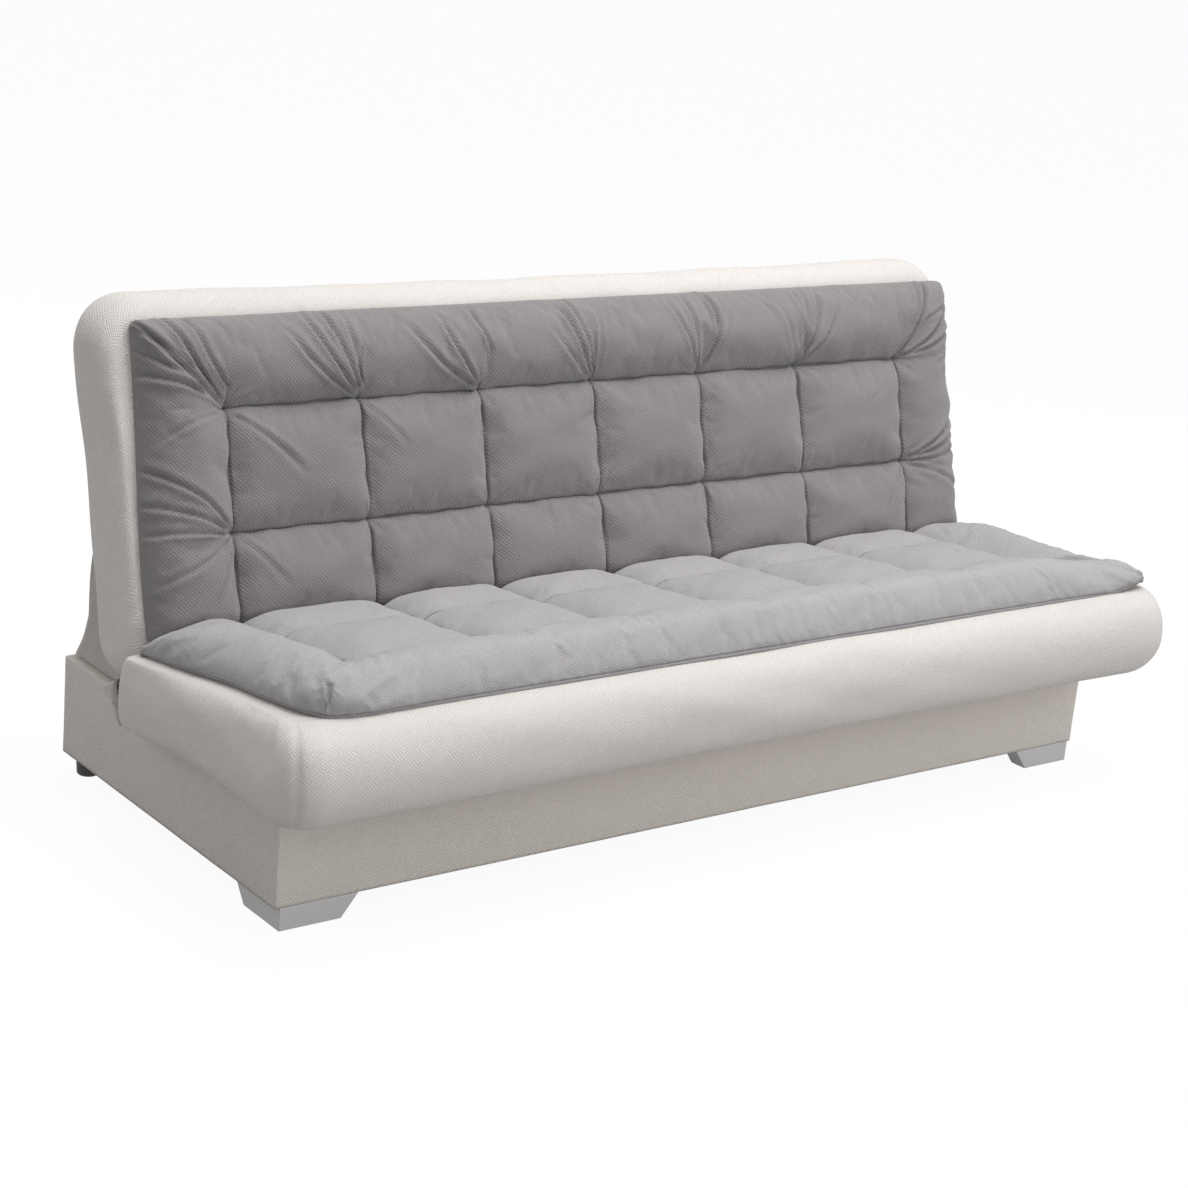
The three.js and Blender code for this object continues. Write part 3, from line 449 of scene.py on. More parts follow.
def mattressPiece(name, look, place, body):
    # the inset of a ring is one less the cosine of its angle, and its height follows the sine
    def hanging(ring):
        # the sides and the top edge, which stay outside the box when lying, hang lower than the rest
        ends = smoothStep(np.abs(ring[:, 0]), 0.86, 0.888) * smoothStep(ring[:, 1], -0.03, 0.05)
        return np.maximum(ends, smoothStep(ring[:, 1], 0.40, 0.54))

    rings, heights, rollSteps = [], [], look["rollSteps"]
    for angle in np.linspace(math.pi / 2, -math.pi / 2, rollSteps):
        reach = look["topReach"] if angle >= 0 else look["underReach"]
        share, draw = 1 - abs(math.cos(angle)) ** look["squareRoll"], look["drawIn"] * math.cos(angle)
        end, front, rear = (r * share for r in reach)
        ring = outlineRing(
            look["half"] - end, look["front"] + front, look["rear"] - rear,
            [radius - end * 0.5 for radius in look["frontRadius"]], look["rearRadius"] - min(end, rear) * 0.5, draw,
        )
        # towards the rear the side's roll flattens to a square end
        square = smoothStep(ring[:, 1], -0.10, look["rear"]) * smoothStep(np.abs(ring[:, 0]), 0.80, 0.90)
        ring[:, 0] += np.sign(ring[:, 0]) * square * look["squareRear"] * end
        rise = (1 + math.sin(angle)) / 2
        rings.append(ring)
        under = look["under"] - look["hang"] * hanging(ring)
        heights.append(under + (look["top"](ring[:, 1]) - under) * rise)
    topRing, centre = rings[0], rings[0].mean(0)
    for shrink in (0.94, 0.7, 0.35):
        inner = centre + (topRing - centre) * shrink
        rings.insert(0, inner)
        heights.insert(0, look["top"](inner[:, 1]))
    half, front, rear = look["pocket"]
    hole = outlineRing(half, front, rear, (0.006, 0.006), 0.006, 0.0)
    lip = outlineRing(half + 0.002, front - 0.002, rear + 0.002, (0.008, 0.008), 0.008, 0.0)
    low = look["under"] - look["hang"] * hanging(hole)
    for ring, height in (
        (lip, low), (hole, low + 0.002), (hole, look["ceiling"] - 0.001),
        (hole.mean(0) + (hole - hole.mean(0)) * 0.6, look["ceiling"]),
    ):
        rings.append(ring)
        heights.append(height + 0 * ring[:, 0])
    flat = np.stack([np.concatenate([r, h[:, None]], 1) for r, h in zip(rings, heights)])
    # pulls and small folds of the cover, strongest at the corners
    widest = 3 + rollSteps // 2
    around = runAlong(np.concatenate([flat[widest], flat[widest, :1]]))
    steps = np.linalg.norm(np.diff(flat, axis=0), axis=2)
    down = np.concatenate([np.zeros((1, flat.shape[1])), np.cumsum(steps, axis=0)])
    down -= down[widest]
    u, v = np.broadcast_to(around, (len(flat), len(around))), np.concatenate([down, down[:, :1]], 1)
    uneven = waves(u[:, :-1], v[:, :-1] * 2.2, look["seed"], 9, 0.09, 0.5) * look["wrinkle"]
    outward = flat - flat.mean((0, 1))
    outward[..., 2] *= 3
    outward /= np.linalg.norm(outward, axis=-1, keepdims=True)
    onRoll = np.zeros((len(flat), 1))
    onRoll[3:3 + rollSteps, 0] = np.sin(np.linspace(0, math.pi, rollSteps)) ** 0.5
    # a seam runs down each front corner, with the cloth full on both sides of it
    beside = awayFrom(np.arange(flat.shape[1]), look["seams"])
    seam = 0.0009 * np.exp(-((beside - 3.0) / 1.6) ** 2) - 0.0024 * np.exp(-((beside / 0.9) ** 2))
    points = place(flat + outward * ((uneven + seam - look["wrinkle"]) * onRoll)[..., None])
    count = points.shape[0] * points.shape[1]
    caps = [points[0].mean(0), points[-1].mean(0)]
    allPoints = np.concatenate([points.reshape(-1, 3), caps])
    faces, maps = gridFaces(points, u, v, closed=True)
    columns = points.shape[1]
    topFan, topMap = fanFaces(np.arange(columns)[::-1], count, allPoints)
    lowFan, lowMap = fanFaces(count - columns + np.arange(columns), count + 1, allPoints)
    fans, fanMaps = np.concatenate([topFan, lowFan]), np.concatenate([topMap, lowMap])
    piece = meshObject(name, allPoints, [faces, fans], [maps, fanMaps], body, finishes["cream"])
    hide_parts(body + "_mattress")


mattressPiece("seatMattressCover", seatMattressLook, asIs, "seat")
mattressPiece("backMattressCover", backMattressLook, standUp, "back")
print("stage: mattresses made")

# Tufted toppers, worked out in cloth coordinates u and v. Seams pinch the cloth into pillows, tufts
# pull it down at their crossings, and a roll carries it down to the hem
topperLook = dict(puff=0.050, tuftDip=0.031, above=0.0003, grooveWidth=0.0017, workGrid=(285, 89), frames=20, cap=0.022)
seatTopperLook = dict(
    topperLook, half=0.915, low=-0.3900, high=0.098, rows=(-0.233, -0.035), outerRow=-0.233, towardInner=1,
    columnDip=0.027, rowDip=0.0085, pinchReach=0.062, rowReach=0.046, tuftReach=0.070, tuck=0.85, stitchLine=0.014,
    rollDepth=0.034, cornerRadius=(0.080, 0.014), groove=0.0062, seamShade=1.0, dart=0.0085, seed=21,
    top=seatPlane, swell=0.010, foldShare=0.8,
)
backTopperLook = dict(
    topperLook, half=0.900, low=0.038, high=0.552, rows=(0.201, 0.403), outerRow=0.403, towardInner=-1,
    columnDip=0.017, rowDip=0.027, pinchReach=0.058, rowReach=0.052, tuftReach=0.085, tuck=0.0, stitchLine=0.0,
    rollDepth=0.040, cornerRadius=(0.014, 0.014), groove=0.0042, seamShade=0.60, dart=0.0, seed=22,
    top=backPlane, swell=0.012, foldShare=1.45,
)

# Folds seen in the photograph, in millimetres from their tuft: start, end, bend, width and depth.
# The keys are the tuft's column, then 1 for the outer row and 0 for the inner row
backFolds = {
    (0, 1): [(-4, 4, -140, 132, 10, 6, 6.0), (-2, 8, -88, 146, 16, 6, 6.5), (6, 30, -52, 142, 14, 6, 4.0),
             (-8, 2, -150, 52, -12, 6, 5.0), (-40, 26, -152, 86, -6, 5, 3.5), (-60, 60, -150, 118, -4, 5, 3.0),
             (8, -10, 108, -92, 6, 7, 3.4), (-10, -8, -120, -40, -8, 6, 2.4)],
    (1, 1): [(-3, 5, -112, 104, 18, 6, 4.6), (-2, 8, -78, 138, 18, 5.5, 5.6), (0, 12, -46, 146, 12, 5, 4.4),
             (4, 20, -16, 130, 8, 5, 3.0), (6, -8, 60, -70, 4, 6, 1.8)],
    (2, 1): [(-3, 5, -118, 100, 18, 7, 4.6), (-2, 8, -62, 112, 14, 5.5, 5.6), (18, 60, -4, 128, 6, 6, 3.0),
             (-8, -8, -52, -60, 4, 6, 1.5)],
    (3, 1): [(-3, 6, -50, 118, 8, 5, 5.4), (2, 14, -34, 146, 7, 4.5, 4.6), (-8, 8, -78, 84, 8, 6, 2.8),
             (10, 20, 14, 120, 3, 6, 1.8)],
    (4, 1): [(-3, 6, -48, 122, 7, 5, 3.6), (-1, 10, -14, 134, 6, 5, 3.2), (3, 6, 26, 148, -22, 5.5, 6.2),
             (8, 10, 62, 96, -8, 6, 2.0)],
    (5, 1): [(2, 6, 52, 128, -8, 6, 4.6), (4, 6, 84, 98, -12, 6, 4.2), (0, 12, 22, 146, -6, 5, 2.6),
             (-8, 12, -34, 96, 4, 6, 2.0)],
    (6, 1): [(3, 5, 82, 146, -8, 5.5, 7.0), (5, 4, 112, 96, -22, 6, 6.0), (10, 3, 148, 60, -12, 6, 4.4),
             (30, 60, 62, 148, -4, 6, 2.6), (60, 70, 150, 108, -5, 6, 3.0), (-8, -10, -84, -70, 4, 7, 1.6)],
    (0, 0): [(-5, 6, -150, 96, -16, 6, 4.6), (-6, 2, -152, 48, -10, 6, 4.2), (-8, -2, -152, 6, -6, 6, 3.0),
             (-5, -6, -130, -60, 8, 7, 3.0), (-2, -8, -60, -110, 8, 7, 2.6), (6, -8, 70, -76, 4, 7, 2.0)],
    (6, 0): [(5, 6, 146, 104, -16, 6, 4.8), (8, 6, 150, 62, -12, 6, 4.2), (8, 0, 150, 16, -6, 6, 2.6),
             (5, -6, 130, -62, 8, 7, 3.0), (-6, -8, -60, -70, 4, 7, 1.6)],
}
seatFolds = {
    (0, 1): [(-4, -2, -96, 20, 8, 5, 2.6), (-6, -6, -110, -30, 12, 6, 3.4), (-5, -8, -92, -78, 14, 6, 3.4),
             (0, -8, -34, -96, 10, 6, 2.8), (6, -8, 30, -62, 8, 4, 3.8), (10, -7, 52, -50, 8, 4, 3.4),
             (14, -5, 74, -38, 8, 4.5, 2.8), (8, -12, 8, -84, 8, 5, 3.0), (16, -2, 120, -16, 8, 5, 2.2)],
    (1, 1): [(8, -3, 128, -12, 9, 5, 2.6), (6, -6, 92, -52, 10, 6, 2.2), (-6, -6, -78, -52, 8, 6, 2.0),
             (2, -8, 26, -90, 6, 5, 1.8), (-8, -2, -66, -10, 5, 5, 1.6)],
    (2, 1): [(8, -2, 136, 4, 8, 5, 3.0), (8, -5, 118, -34, 12, 6, 2.6), (-7, -5, -86, -40, 10, 6, 2.6),
             (0, -8, 12, -92, 5, 6, 2.0), (60, -40, 96, -62, 4, 5, 3.0)],
    (3, 1): [(8, -3, 140, -6, 10, 5, 2.8), (6, -6, 84, -58, 8, 6, 2.2), (-7, -5, -92, -46, 10, 6, 2.2),
             (36, -44, 78, -66, 5, 5, 2.6), (-4, -8, -18, -84, 5, 5, 1.6)],
    (4, 1): [(8, -3, 122, -14, 9, 5, 2.6), (5, -7, 66, -66, 8, 6, 2.0), (-6, -6, -78, -52, 8, 6, 2.2),
             (0, -9, -8, -88, 4, 6, 1.8)],
    (5, 1): [(8, -3, 126, -8, 9, 5, 2.6), (6, -6, 92, -48, 8, 6, 2.0), (-6, -6, -84, -44, 8, 6, 2.2),
             (0, -9, 14, -90, 5, 6, 1.8)],
    (6, 1): [(8, -2, 138, -124, 22, 7, 9.0), (44, -78, 128, -146, 8, 5, 4.0), (0, -9, 30, -96, 6, 6, 2.2),
             (8, 4, 142, 28, -8, 6, 2.4)],
    (0, 0): [(-5, 3, -118, 24, 6, 6, 2.8), (-6, -3, -124, -20, 8, 6, 2.8), (-3, 8, -40, 92, 8, 6, 2.4),
             (6, 2, 96, 16, 6, 5, 2.0), (6, -4, 78, -40, 5, 6, 1.6)],
    (6, 0): [(5, 3, 120, 30, -6, 6, 2.6), (6, -3, 124, -26, -8, 6, 2.6), (3, 8, 40, 90, -8, 6, 2.2)],
}


def foldList(look, given):
    # the given folds, then short seeded ones round every tuft and beside the seams
    pick = np.random.default_rng(look["seed"])
    folds = []
    innerRow, = set(look["rows"]) - {look["outerRow"]}
    for (column, outer), lines in given.items():
        tuft = np.array([tuftColumns[column], look["outerRow"] if outer else innerRow])
        for line in np.array(lines) / 1000:
            longer = 1.2 if math.hypot(*line[2:4]) > 0.088 else 1.0
            folds.append([*(tuft + line[:2]), *(tuft + line[2:4] * longer), *line[4:]])
    for tuft in itertools.product(tuftColumns, look["rows"]):
        for turn in np.linspace(0, 2 * math.pi, 8)[:-1] + pick.normal(0, 0.25, 7):
            away, size = np.array([math.cos(turn), math.sin(turn)]), pick.uniform(0.024, 0.062)
            shape = pick.normal(0, 0.003), pick.uniform(0.0030, 0.0050), pick.uniform(0.0006, 0.0017)
            folds.append([*(tuft + 0.004 * away), *(tuft + away * size), *shape])
    return folds


def foldHeight(x, y, folds):
    # each fold is a crisp valley with a round ridge on its lower side, along a bent line
    total = np.zeros(x.shape)
    for x0, y0, x1, y1, bend, width, depth in folds:
        length = math.hypot(x1 - x0, y1 - y0)
        ax, ay = (x1 - x0) / length, (y1 - y0) / length
        t = ((x - x0) * ax + (y - y0) * ay) / length
        inside = np.clip(t, 0, 1)
        off = -(x - x0) * ay + (y - y0) * ax - bend * 4 * inside * (1 - inside)
        spread = width * (0.55 + 0.75 * inside)
        fade = smoothStep(t, -0.02, 0.10) * (1 - smoothStep(t, 0.74, 1.16))
        s = off / spread
        ridges = 0.85 * np.exp(-((s - 1.25) / 0.85) ** 2) + 0.50 * np.exp(-((s + 1.45) / 1.1) ** 2)
        total += depth * fade * (ridges - 1.25 * np.exp(-np.abs(s / 0.66) ** 1.5)) * 0.75
    return total


def pinch(distance, reach):
    # 1 on the seam, falling along a quarter circle to 0 at the reach: round pillows, a sharp seam
    away = 1 - np.clip(distance / reach, 0, 1)
    return 1 - np.sqrt(1 - away * away)


def rollLength(look):
    # the arc from hem to crown: its angle times the mean of the roll's depth and height
    return (math.pi / 2 + look["tuck"]) * math.sqrt((look["rollDepth"] ** 2 + look["puff"] ** 2) / 2)


def seamDistances(look, u, v):
    # from each point to the nearest column and row of tufts, and how far inward of the outer row it is
    return awayFrom(u, tuftColumns), awayFrom(v, look["rows"]), (v - look["outerRow"]) * look["towardInner"]


def topperBase(look, u, v):
    # the cloth before its folds: pillow height times the two rolls, over the mattress's top plane
    run, tuck = rollLength(look), look["tuck"]
    middle, halfV = (look["low"] + look["high"]) / 2, (look["high"] - look["low"]) / 2

    def roll(distance):
        # from the hem tucked under, out round the roll and up to the crown, which begins at the run
        angle = np.clip(distance / run, 0, 1) * (math.pi / 2 + tuck) - tuck
        inset = look["rollDepth"] * (1 - np.cos(angle)) + np.maximum(distance - run, 0)
        return inset, (np.sin(angle) + math.sin(tuck)) / (1 + math.sin(tuck))

    extra = run - look["rollDepth"]
    fromSide, fromEnd = look["half"] + extra - np.abs(u), halfV + extra - np.abs(v - middle)
    insetX, crownX = roll(fromSide)
    insetY, crownY = roll(fromEnd)
    x, y = np.sign(u) * (look["half"] - insetX), middle + np.sign(v - middle) * (halfV - insetY)
    wanderX = 0.0011 * np.sin(v * 41 + 2 * np.sin(u * 7)) + 0.0007 * np.sin(v * 97 + u * 11)
    wanderY = 0.0010 * np.sin(u * 37 + 2 * np.sin(v * 9)) + 0.0007 * np.sin(u * 89 + v * 13)
    toColumn, toRow, _ = seamDistances(look, u + wanderX, v + wanderY)
    straightColumn, straightRow, inward = seamDistances(look, u, v)
    toTuft = np.hypot(straightColumn, straightRow)
    columnSeam = smoothStep(inward, -0.022, 0.002)
    rowSeam = 1 - smoothStep(np.abs(u), tuftColumns[-1] - 0.002, tuftColumns[-1] + 0.026)
    tuft = pinch(toTuft, look["tuftReach"]) * look["tuftDip"]
    columns = pinch(toColumn, look["pinchReach"]) * look["columnDip"] * columnSeam
    rows = pinch(toRow, look["rowReach"]) * look["rowDip"] * rowSeam
    dip = (tuft ** 5 + columns ** 5 + rows ** 5) ** 0.2
    columnLine, rowLine = (np.exp(-((away / look["grooveWidth"]) ** 2)) for away in (toColumn, toRow))
    groove = columnLine * columnSeam + rowLine * rowSeam
    depth = look["groove"] * np.clip(groove, 0, 1) * np.clip(toTuft / 0.02, 0.3, 1)
    # where two rolls meet at a corner the lower one leads
    crown = (np.clip(crownX, 0.001, 1) ** -5 + np.clip(crownY, 0.001, 1) ** -5 - 1) ** -0.2
    height = (look["puff"] - dip - depth) * crown
    if look["dart"]:
        aside = (fromSide - fromEnd) / math.sqrt(2)
        nearer = np.minimum(fromSide, fromEnd)
        window = smoothStep(nearer, 0.014, 0.030) * (1 - smoothStep(nearer, 0.078, 0.096))
        lips = 0.35 * np.exp(-(((np.abs(aside) - 0.011) / 0.007) ** 2))
        height += look["dart"] * window * (lips - 1.2 * np.exp(-np.abs(aside / 0.0030)))
    return x, y, height, fromSide, fromEnd


def cornerRound(look, x, y):
    # draws the square corners of the cut onto an arc, the front ones and the rear ones each their own
    midY, halfY = (look["low"] + look["high"]) / 2, (look["high"] - look["low"]) / 2
    radius = np.where(y < midY, *look["cornerRadius"])
    dx = np.clip((np.abs(x) - (look["half"] - radius)) / radius, 0, 1)
    dy = np.clip((np.abs(y - midY) - (halfY - radius)) / radius, 0, 1)
    both = (dx > 0) & (dy > 0)
    rx = np.where(both, dx * np.sqrt(1 - dy * dy / 2) - dx, 0) * radius
    ry = np.where(both, dy * np.sqrt(1 - dx * dx / 2) - dy, 0) * radius
    return x + np.sign(x) * rx, y + np.sign(y - midY) * ry


def topperSurface(look, u, v, shape):
    x, y, height, fromSide, fromEnd = topperBase(look, u, v)
    x, y = cornerRound(look, x, y)
    # the corner of a tucked hem is drawn further in, so that its tip stays under the roll
    tip = 0.009 * look["tuck"] * smoothStep(-np.hypot(fromSide, fromEnd), -0.055, -0.015)
    x, y = x - np.sign(x) * tip, y - np.sign(y - (look["low"] + look["high"]) / 2) * tip
    x, y, lift, share = shape(look, x, y)
    points = np.stack([x, y, look["top"](y) + look["above"] + height * share + lift], -1)
    return points, np.minimum(fromSide, fromEnd)


def gridNormals(points):
    along, across = np.gradient(points, axis=1), np.gradient(points, axis=0)
    normal = np.cross(along, across)
    normal /= np.maximum(np.linalg.norm(normal, axis=-1, keepdims=True), 1e-12)
    return normal * np.sign(normal[..., 2:].mean())


clothSettings = dict(
    quality=4, mass=0.3, tension_stiffness=12, compression_stiffness=12, shear_stiffness=6, bending_stiffness=0.25,
    air_damping=3, use_pressure=True, uniform_pressure_force=4, vertex_group_mass="held",
)


def relaxCloth(name, look, shape):
    # cloth simulation on a coarse copy held at hem, seams and tufts: air pressure and a little spare
    # cloth make its own creases; the capped movement is handed back with its grid lines
    extra = rollLength(look) - look["rollDepth"]
    across, along = look["workGrid"]
    us = np.linspace(-look["half"] - extra, look["half"] + extra, across)
    vs = np.linspace(look["low"] - extra, look["high"] + extra, along)
    u, v = np.meshgrid(us, vs)
    start, nearest = topperSurface(look, u, v, shape)
    toColumn, toRow, inward = seamDistances(look, u, v)
    onColumn = (toColumn < 0.0034) & (inward > -0.004)
    onRow = (toRow < 0.0034) & (np.abs(u) < tuftColumns[-1] + 0.004)
    held = onColumn | onRow | (np.hypot(toColumn, toRow) < 0.009) | (nearest < 0.014)
    faces, _ = gridFaces(start, u, v)
    mesh = bpy.data.meshes.new(name)
    mesh.from_pydata(start.reshape(-1, 3).tolist(), [], faces.tolist())
    work = bpy.data.objects.new(name, mesh)
    scene.collection.objects.link(work)
    group = work.vertex_groups.new(name="held")
    group.add(np.flatnonzero(held.ravel()).tolist(), 1.0, "REPLACE")
    cloth = work.modifiers.new("cloth", "CLOTH")
    for label, value in clothSettings.items():
        setattr(cloth.settings, label, value)
    cloth.settings.shrink_min = -look["swell"]
    cloth.settings.effector_weights.gravity = 0
    cloth.collision_settings.use_collision = cloth.collision_settings.use_self_collision = False
    for step in range(look["frames"]):
        scene.frame_set(step + 1)
    evaluated = work.evaluated_get(bpy.context.evaluated_depsgraph_get())
    moved = np.empty(len(mesh.vertices) * 3, np.float32)
    evaluated.data.vertices.foreach_get("co", moved)
    change = moved.reshape(start.shape) - start
    length = np.linalg.norm(change, axis=-1, keepdims=True)
    change *= np.minimum(1, look["cap"] / np.maximum(length, 1e-9))
    scene.frame_set(1)
    bpy.data.objects.remove(work)
    bpy.data.meshes.remove(mesh)
    print("cloth", name, "largest movement", float(length.max()), "mean", float(length.mean()))
    return us, vs, change


def spreadOver(us, vs, field, u, v):
    # bilinear reading of a coarse grid's values at the fine grid's places
    cu, cv = (u - us[0]) / (us[1] - us[0]), (v - vs[0]) / (vs[1] - vs[0])
    i, j = np.clip(cu.astype(int), 0, len(us) - 2), np.clip(cv.astype(int), 0, len(vs) - 2)
    a, b = (cu - i)[..., None], (cv - j)[..., None]
    low = field[j, i] * (1 - a) + field[j, i + 1] * a
    high = field[j + 1, i] * (1 - a) + field[j + 1, i + 1] * a
    return low * (1 - b) + high * b


def topperPiece(name, look, place, body, finish, shape, given):
    extra = rollLength(look) - look["rollDepth"]
    reach, low, high = look["half"] + extra, look["low"] - extra, look["high"] + extra
    line = look["stitchLine"]
    us = denseLines(-reach, reach, [*tuftColumns, reach, reach - line, -reach, line - reach], 0.0042, 0.0011, 0.005)
    vs = denseLines(low, high, [*look["rows"], low, low + line, high, high - line], 0.0040, 0.0011, 0.005)
    u, v = np.meshgrid(us, vs)
    points, nearest = topperSurface(look, u, v, shape)
    points = points + spreadOver(*relaxCloth(name + "Work", look, shape), u, v)
    detail = foldHeight(u, v, foldList(look, given)) * look["foldShare"]
    detail += waves(u, v, look["seed"], 12, 0.05, 0.28) * 0.0012
    detail *= smoothStep(nearest, line, line + 0.012)
    if line:
        detail -= 0.0030 * np.exp(-(((nearest - line) / 0.0016) ** 2))
    points = points + gridNormals(points) * detail[..., None]
    # painted shade: darker along the sewn seams, in the valleys of the folds, on the stitch line and on the hem below
    # it, where shade falls under the roll
    toColumn, toRow, inward = seamDistances(look, u, v)
    paintedColumnShade = np.exp(-((toColumn / 0.0022) ** 2)) * smoothStep(inward, -0.014, 0.002)
    rowEnd = smoothStep(np.abs(u), tuftColumns[-1] - 0.002, tuftColumns[-1] + 0.020)
    paintedRowShade = np.exp(-((toRow / 0.0022) ** 2)) * (1 - rowEnd)
    paintedShade = look["seamShade"] * np.maximum(paintedColumnShade, paintedRowShade) + 0.35 * np.clip((-detail - 0.0012) / 0.0035, 0, 1)
    if line:
        paintedShade += 0.45 * (1 - smoothStep(nearest, line - 0.003, line + 0.003))
        paintedShade += 0.34 * (1 - smoothStep(nearest, line, line + 0.045))
    points = place(points)
    rows, columns = u.shape
    number = np.arange(rows * columns).reshape(rows, columns)
    rim = np.concatenate([number[0, :-1], number[:-1, -1], number[-1, :0:-1], number[:0:-1, 0]])
    middle = (look["low"] + look["high"]) / 2
    below = place(np.array([[0.0, middle, look["top"](middle) + look["above"]]]))
    allPoints = np.concatenate([points.reshape(-1, 3), below])
    faces, maps = gridFaces(points, u, v)
    fan, fanMap = fanFaces(rim[::-1], rows * columns, allPoints)
    piece = meshObject(name, allPoints, [faces, fan], [maps, fanMap], body, finishes[finish])
    paintCreaseShade(piece, np.append(np.clip(paintedShade, 0, 1), 0))
    print(name, "quads", len(faces))
    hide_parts(body + "_topper")
    return piece


def seatShape(look, x, y):
    # the side edges bow, the right margin thins towards the front, and its corner stands up as an ear
    toFront = (look["high"] - y) / (look["high"] - look["low"])
    left = 0.018 * (1 - smoothStep(toFront, 0.0, 0.55)) - 0.010 * smoothStep(toFront, 0.2, 0.6)
    left -= 0.012 * smoothStep(toFront, 0.6, 1.0)
    nearLeft = smoothStep(-x, 0.55, 0.915)
    ear = smoothStep(x, 0.80, 0.915) * smoothStep(toFront, 0.80, 0.99)
    thin = 0.42 * smoothStep(x, 0.66, 0.86) * smoothStep(toFront, 0.15, 0.62)
    taper = 0.55 * smoothStep(-x, 0.79, 0.915) + 0.3 * smoothStep(x, 0.79, 0.915)
    taper *= smoothStep(-toFront, -0.16, 0.0)
    lift = ear * 0.017 - 0.004 * smoothStep(toFront, 0.90, 1.0)
    return x - nearLeft * left + ear * 0.030, y - ear * 0.006, lift, 1 - thin - 0.20 * ear - taper


def backShape(look, x, y):
    # the top margin narrows at the left and the whole pad sits a little to the right
    toTop = (y - look["low"]) / (look["high"] - look["low"])
    shift = 0.009 * smoothStep(x, -0.9, 0.9) + 0.018 * smoothStep(-x, 0.6, 0.9) * smoothStep(toTop, 0.1, 1.0)
    return x + shift, y, 0, 1


seatPad = topperPiece(
    "seatTopperPad", seatTopperLook, asIs, "seat", "seatGrey", seatShape, seatFolds,
)
topperPiece("backTopperPad", backTopperLook, standUp, "back", "backGrey", backShape, backFolds)
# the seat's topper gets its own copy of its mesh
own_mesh(seatPad)
print("stage: toppers made")

# Rear skirt: each level is a U in plan, from the box's rear edge to the back's rear face. The pulls run
# across it, in metres along its width and share of its height: start, end, bend, width, depth
skirtLook = dict(
    half=0.866, bottom=0.2133, boxRear=0.440, frontAtBox=0.276, topReach=0.262, cornerReach=0.025, under=-0.0576,
    topDepth=0.010, widen=0.018, tuckedIn=0.009, fold=0.009, folds=5, thickness=0.002, height=0.30, seed=31,
    sagHeights=(0, 0.14, 0.28, 0.46, 0.65, 0.82, 1), sag=(0, -0.011, -0.016, -0.009, 0.004, 0.005, 0),
)
skirtPulls = [
    (-0.86, 0.97, -0.42, 0.10, 0.05, 0.022, 0.011), (-0.84, 0.80, -0.58, 0.06, 0.03, 0.016, 0.008),
    (-0.70, 0.99, -0.05, 0.28, 0.04, 0.024, 0.007), (-0.30, 0.98, -0.24, 0.05, 0.02, 0.020, 0.008),
    (0.05, 0.96, 0.30, 0.08, -0.02, 0.022, 0.009), (0.42, 0.99, 0.28, 0.30, 0.02, 0.018, 0.006),
    (0.86, 0.97, 0.44, 0.08, -0.05, 0.022, 0.011), (0.85, 0.76, 0.62, 0.05, -0.03, 0.016, 0.008),
    (0.66, 0.99, 0.12, 0.22, -0.05, 0.024, 0.006),
]


def skirtPiece(look, pulls):
    # the rear's depth is two rounded waves over the width, less the pulls; the sides only ruffle
    bottom, boxRear, height = look["bottom"], look["boxRear"], look["height"]
    reaches = np.array([[0, look["topReach"], look["under"]], [0, look["cornerReach"], look["under"]]])
    (_, topY, topZ), (_, cornerY, cornerZ) = standUp(reaches).tolist()
    share = np.linspace(0, 1, 97)[:, None]
    z = bottom + (topZ - bottom) * share
    z[0] -= look["tuckedIn"]
    below, above = (z - bottom) / (cornerZ - bottom), (z - cornerZ) / (topZ - cornerZ)
    front = look["frontAtBox"] + (cornerY - look["frontAtBox"]) * np.clip(below, 0, 1)
    front += (topY - cornerY) * np.clip(above, 0, 1)
    rear = boxRear + (topY + look["topDepth"] - boxRear) * share + np.interp(share, look["sagHeights"], look["sag"])
    bulge = np.sin(math.pi * share)
    t = np.linspace(0, 1, 401)[None]
    lean = (share - 0.5) * np.sin(5 * t + 0.6) * 0.10
    swell = 0.55 + 0.45 * np.sin(9 * t + 1.0)
    wave = np.sin((t + lean) * look["folds"] * 2 * math.pi + 1.3 * np.sin(7 * t)) * look["fold"] * swell * bulge
    wave += waves(t * 1.7, share * 0.3, look["seed"], 8, 0.08, 0.4) * 0.0022 * bulge
    pulls = np.array(pulls) * [1, height, 1, height, 1, 1, 1]
    wave = np.abs(wave) - foldHeight(*np.broadcast_arrays(look["half"] * (1 - 2 * t), share * height), pulls) * bulge ** 0.5
    side = np.linspace(0, 1, 15)[None, :-1]
    ruffle = waves(side * 0.2 + 3, share * 0.3, look["seed"] + 1, 6, 0.05, 0.2) * 0.0020 * bulge
    half = look["half"] + look["widen"] * smoothStep(share, 0.05, 0.65)
    sideX, sideY = half - np.abs(ruffle), front + (rear - front) * side
    x = np.concatenate([sideX, half * (1 - 2 * t), -sideX[:, ::-1]], 1)
    y = np.concatenate([sideY, rear - wave, sideY[:, ::-1]], 1)
    points = np.stack([x, y, z + 0 * x], -1)
    u, v = np.meshgrid(runAlong(points[48]), share * 0.31)
    piece = sheetPiece("rearSkirtSheet", points, u, v, None, "skirt", look["thickness"])
    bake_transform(piece)
    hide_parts("rear_skirt")


skirtPiece(skirtLook, skirtPulls)
print("stage: skirt made")

# Box cover: one sleeve round the boards, its profile carried round the outline
coverLook = dict(
    half=0.886, front=-0.2825, rear=0.4415, bottom=0.039, top=0.213, turnIn=0.0186, radius=0.004, inside=0.016,
    seed=41, thickness=0.0014,
)


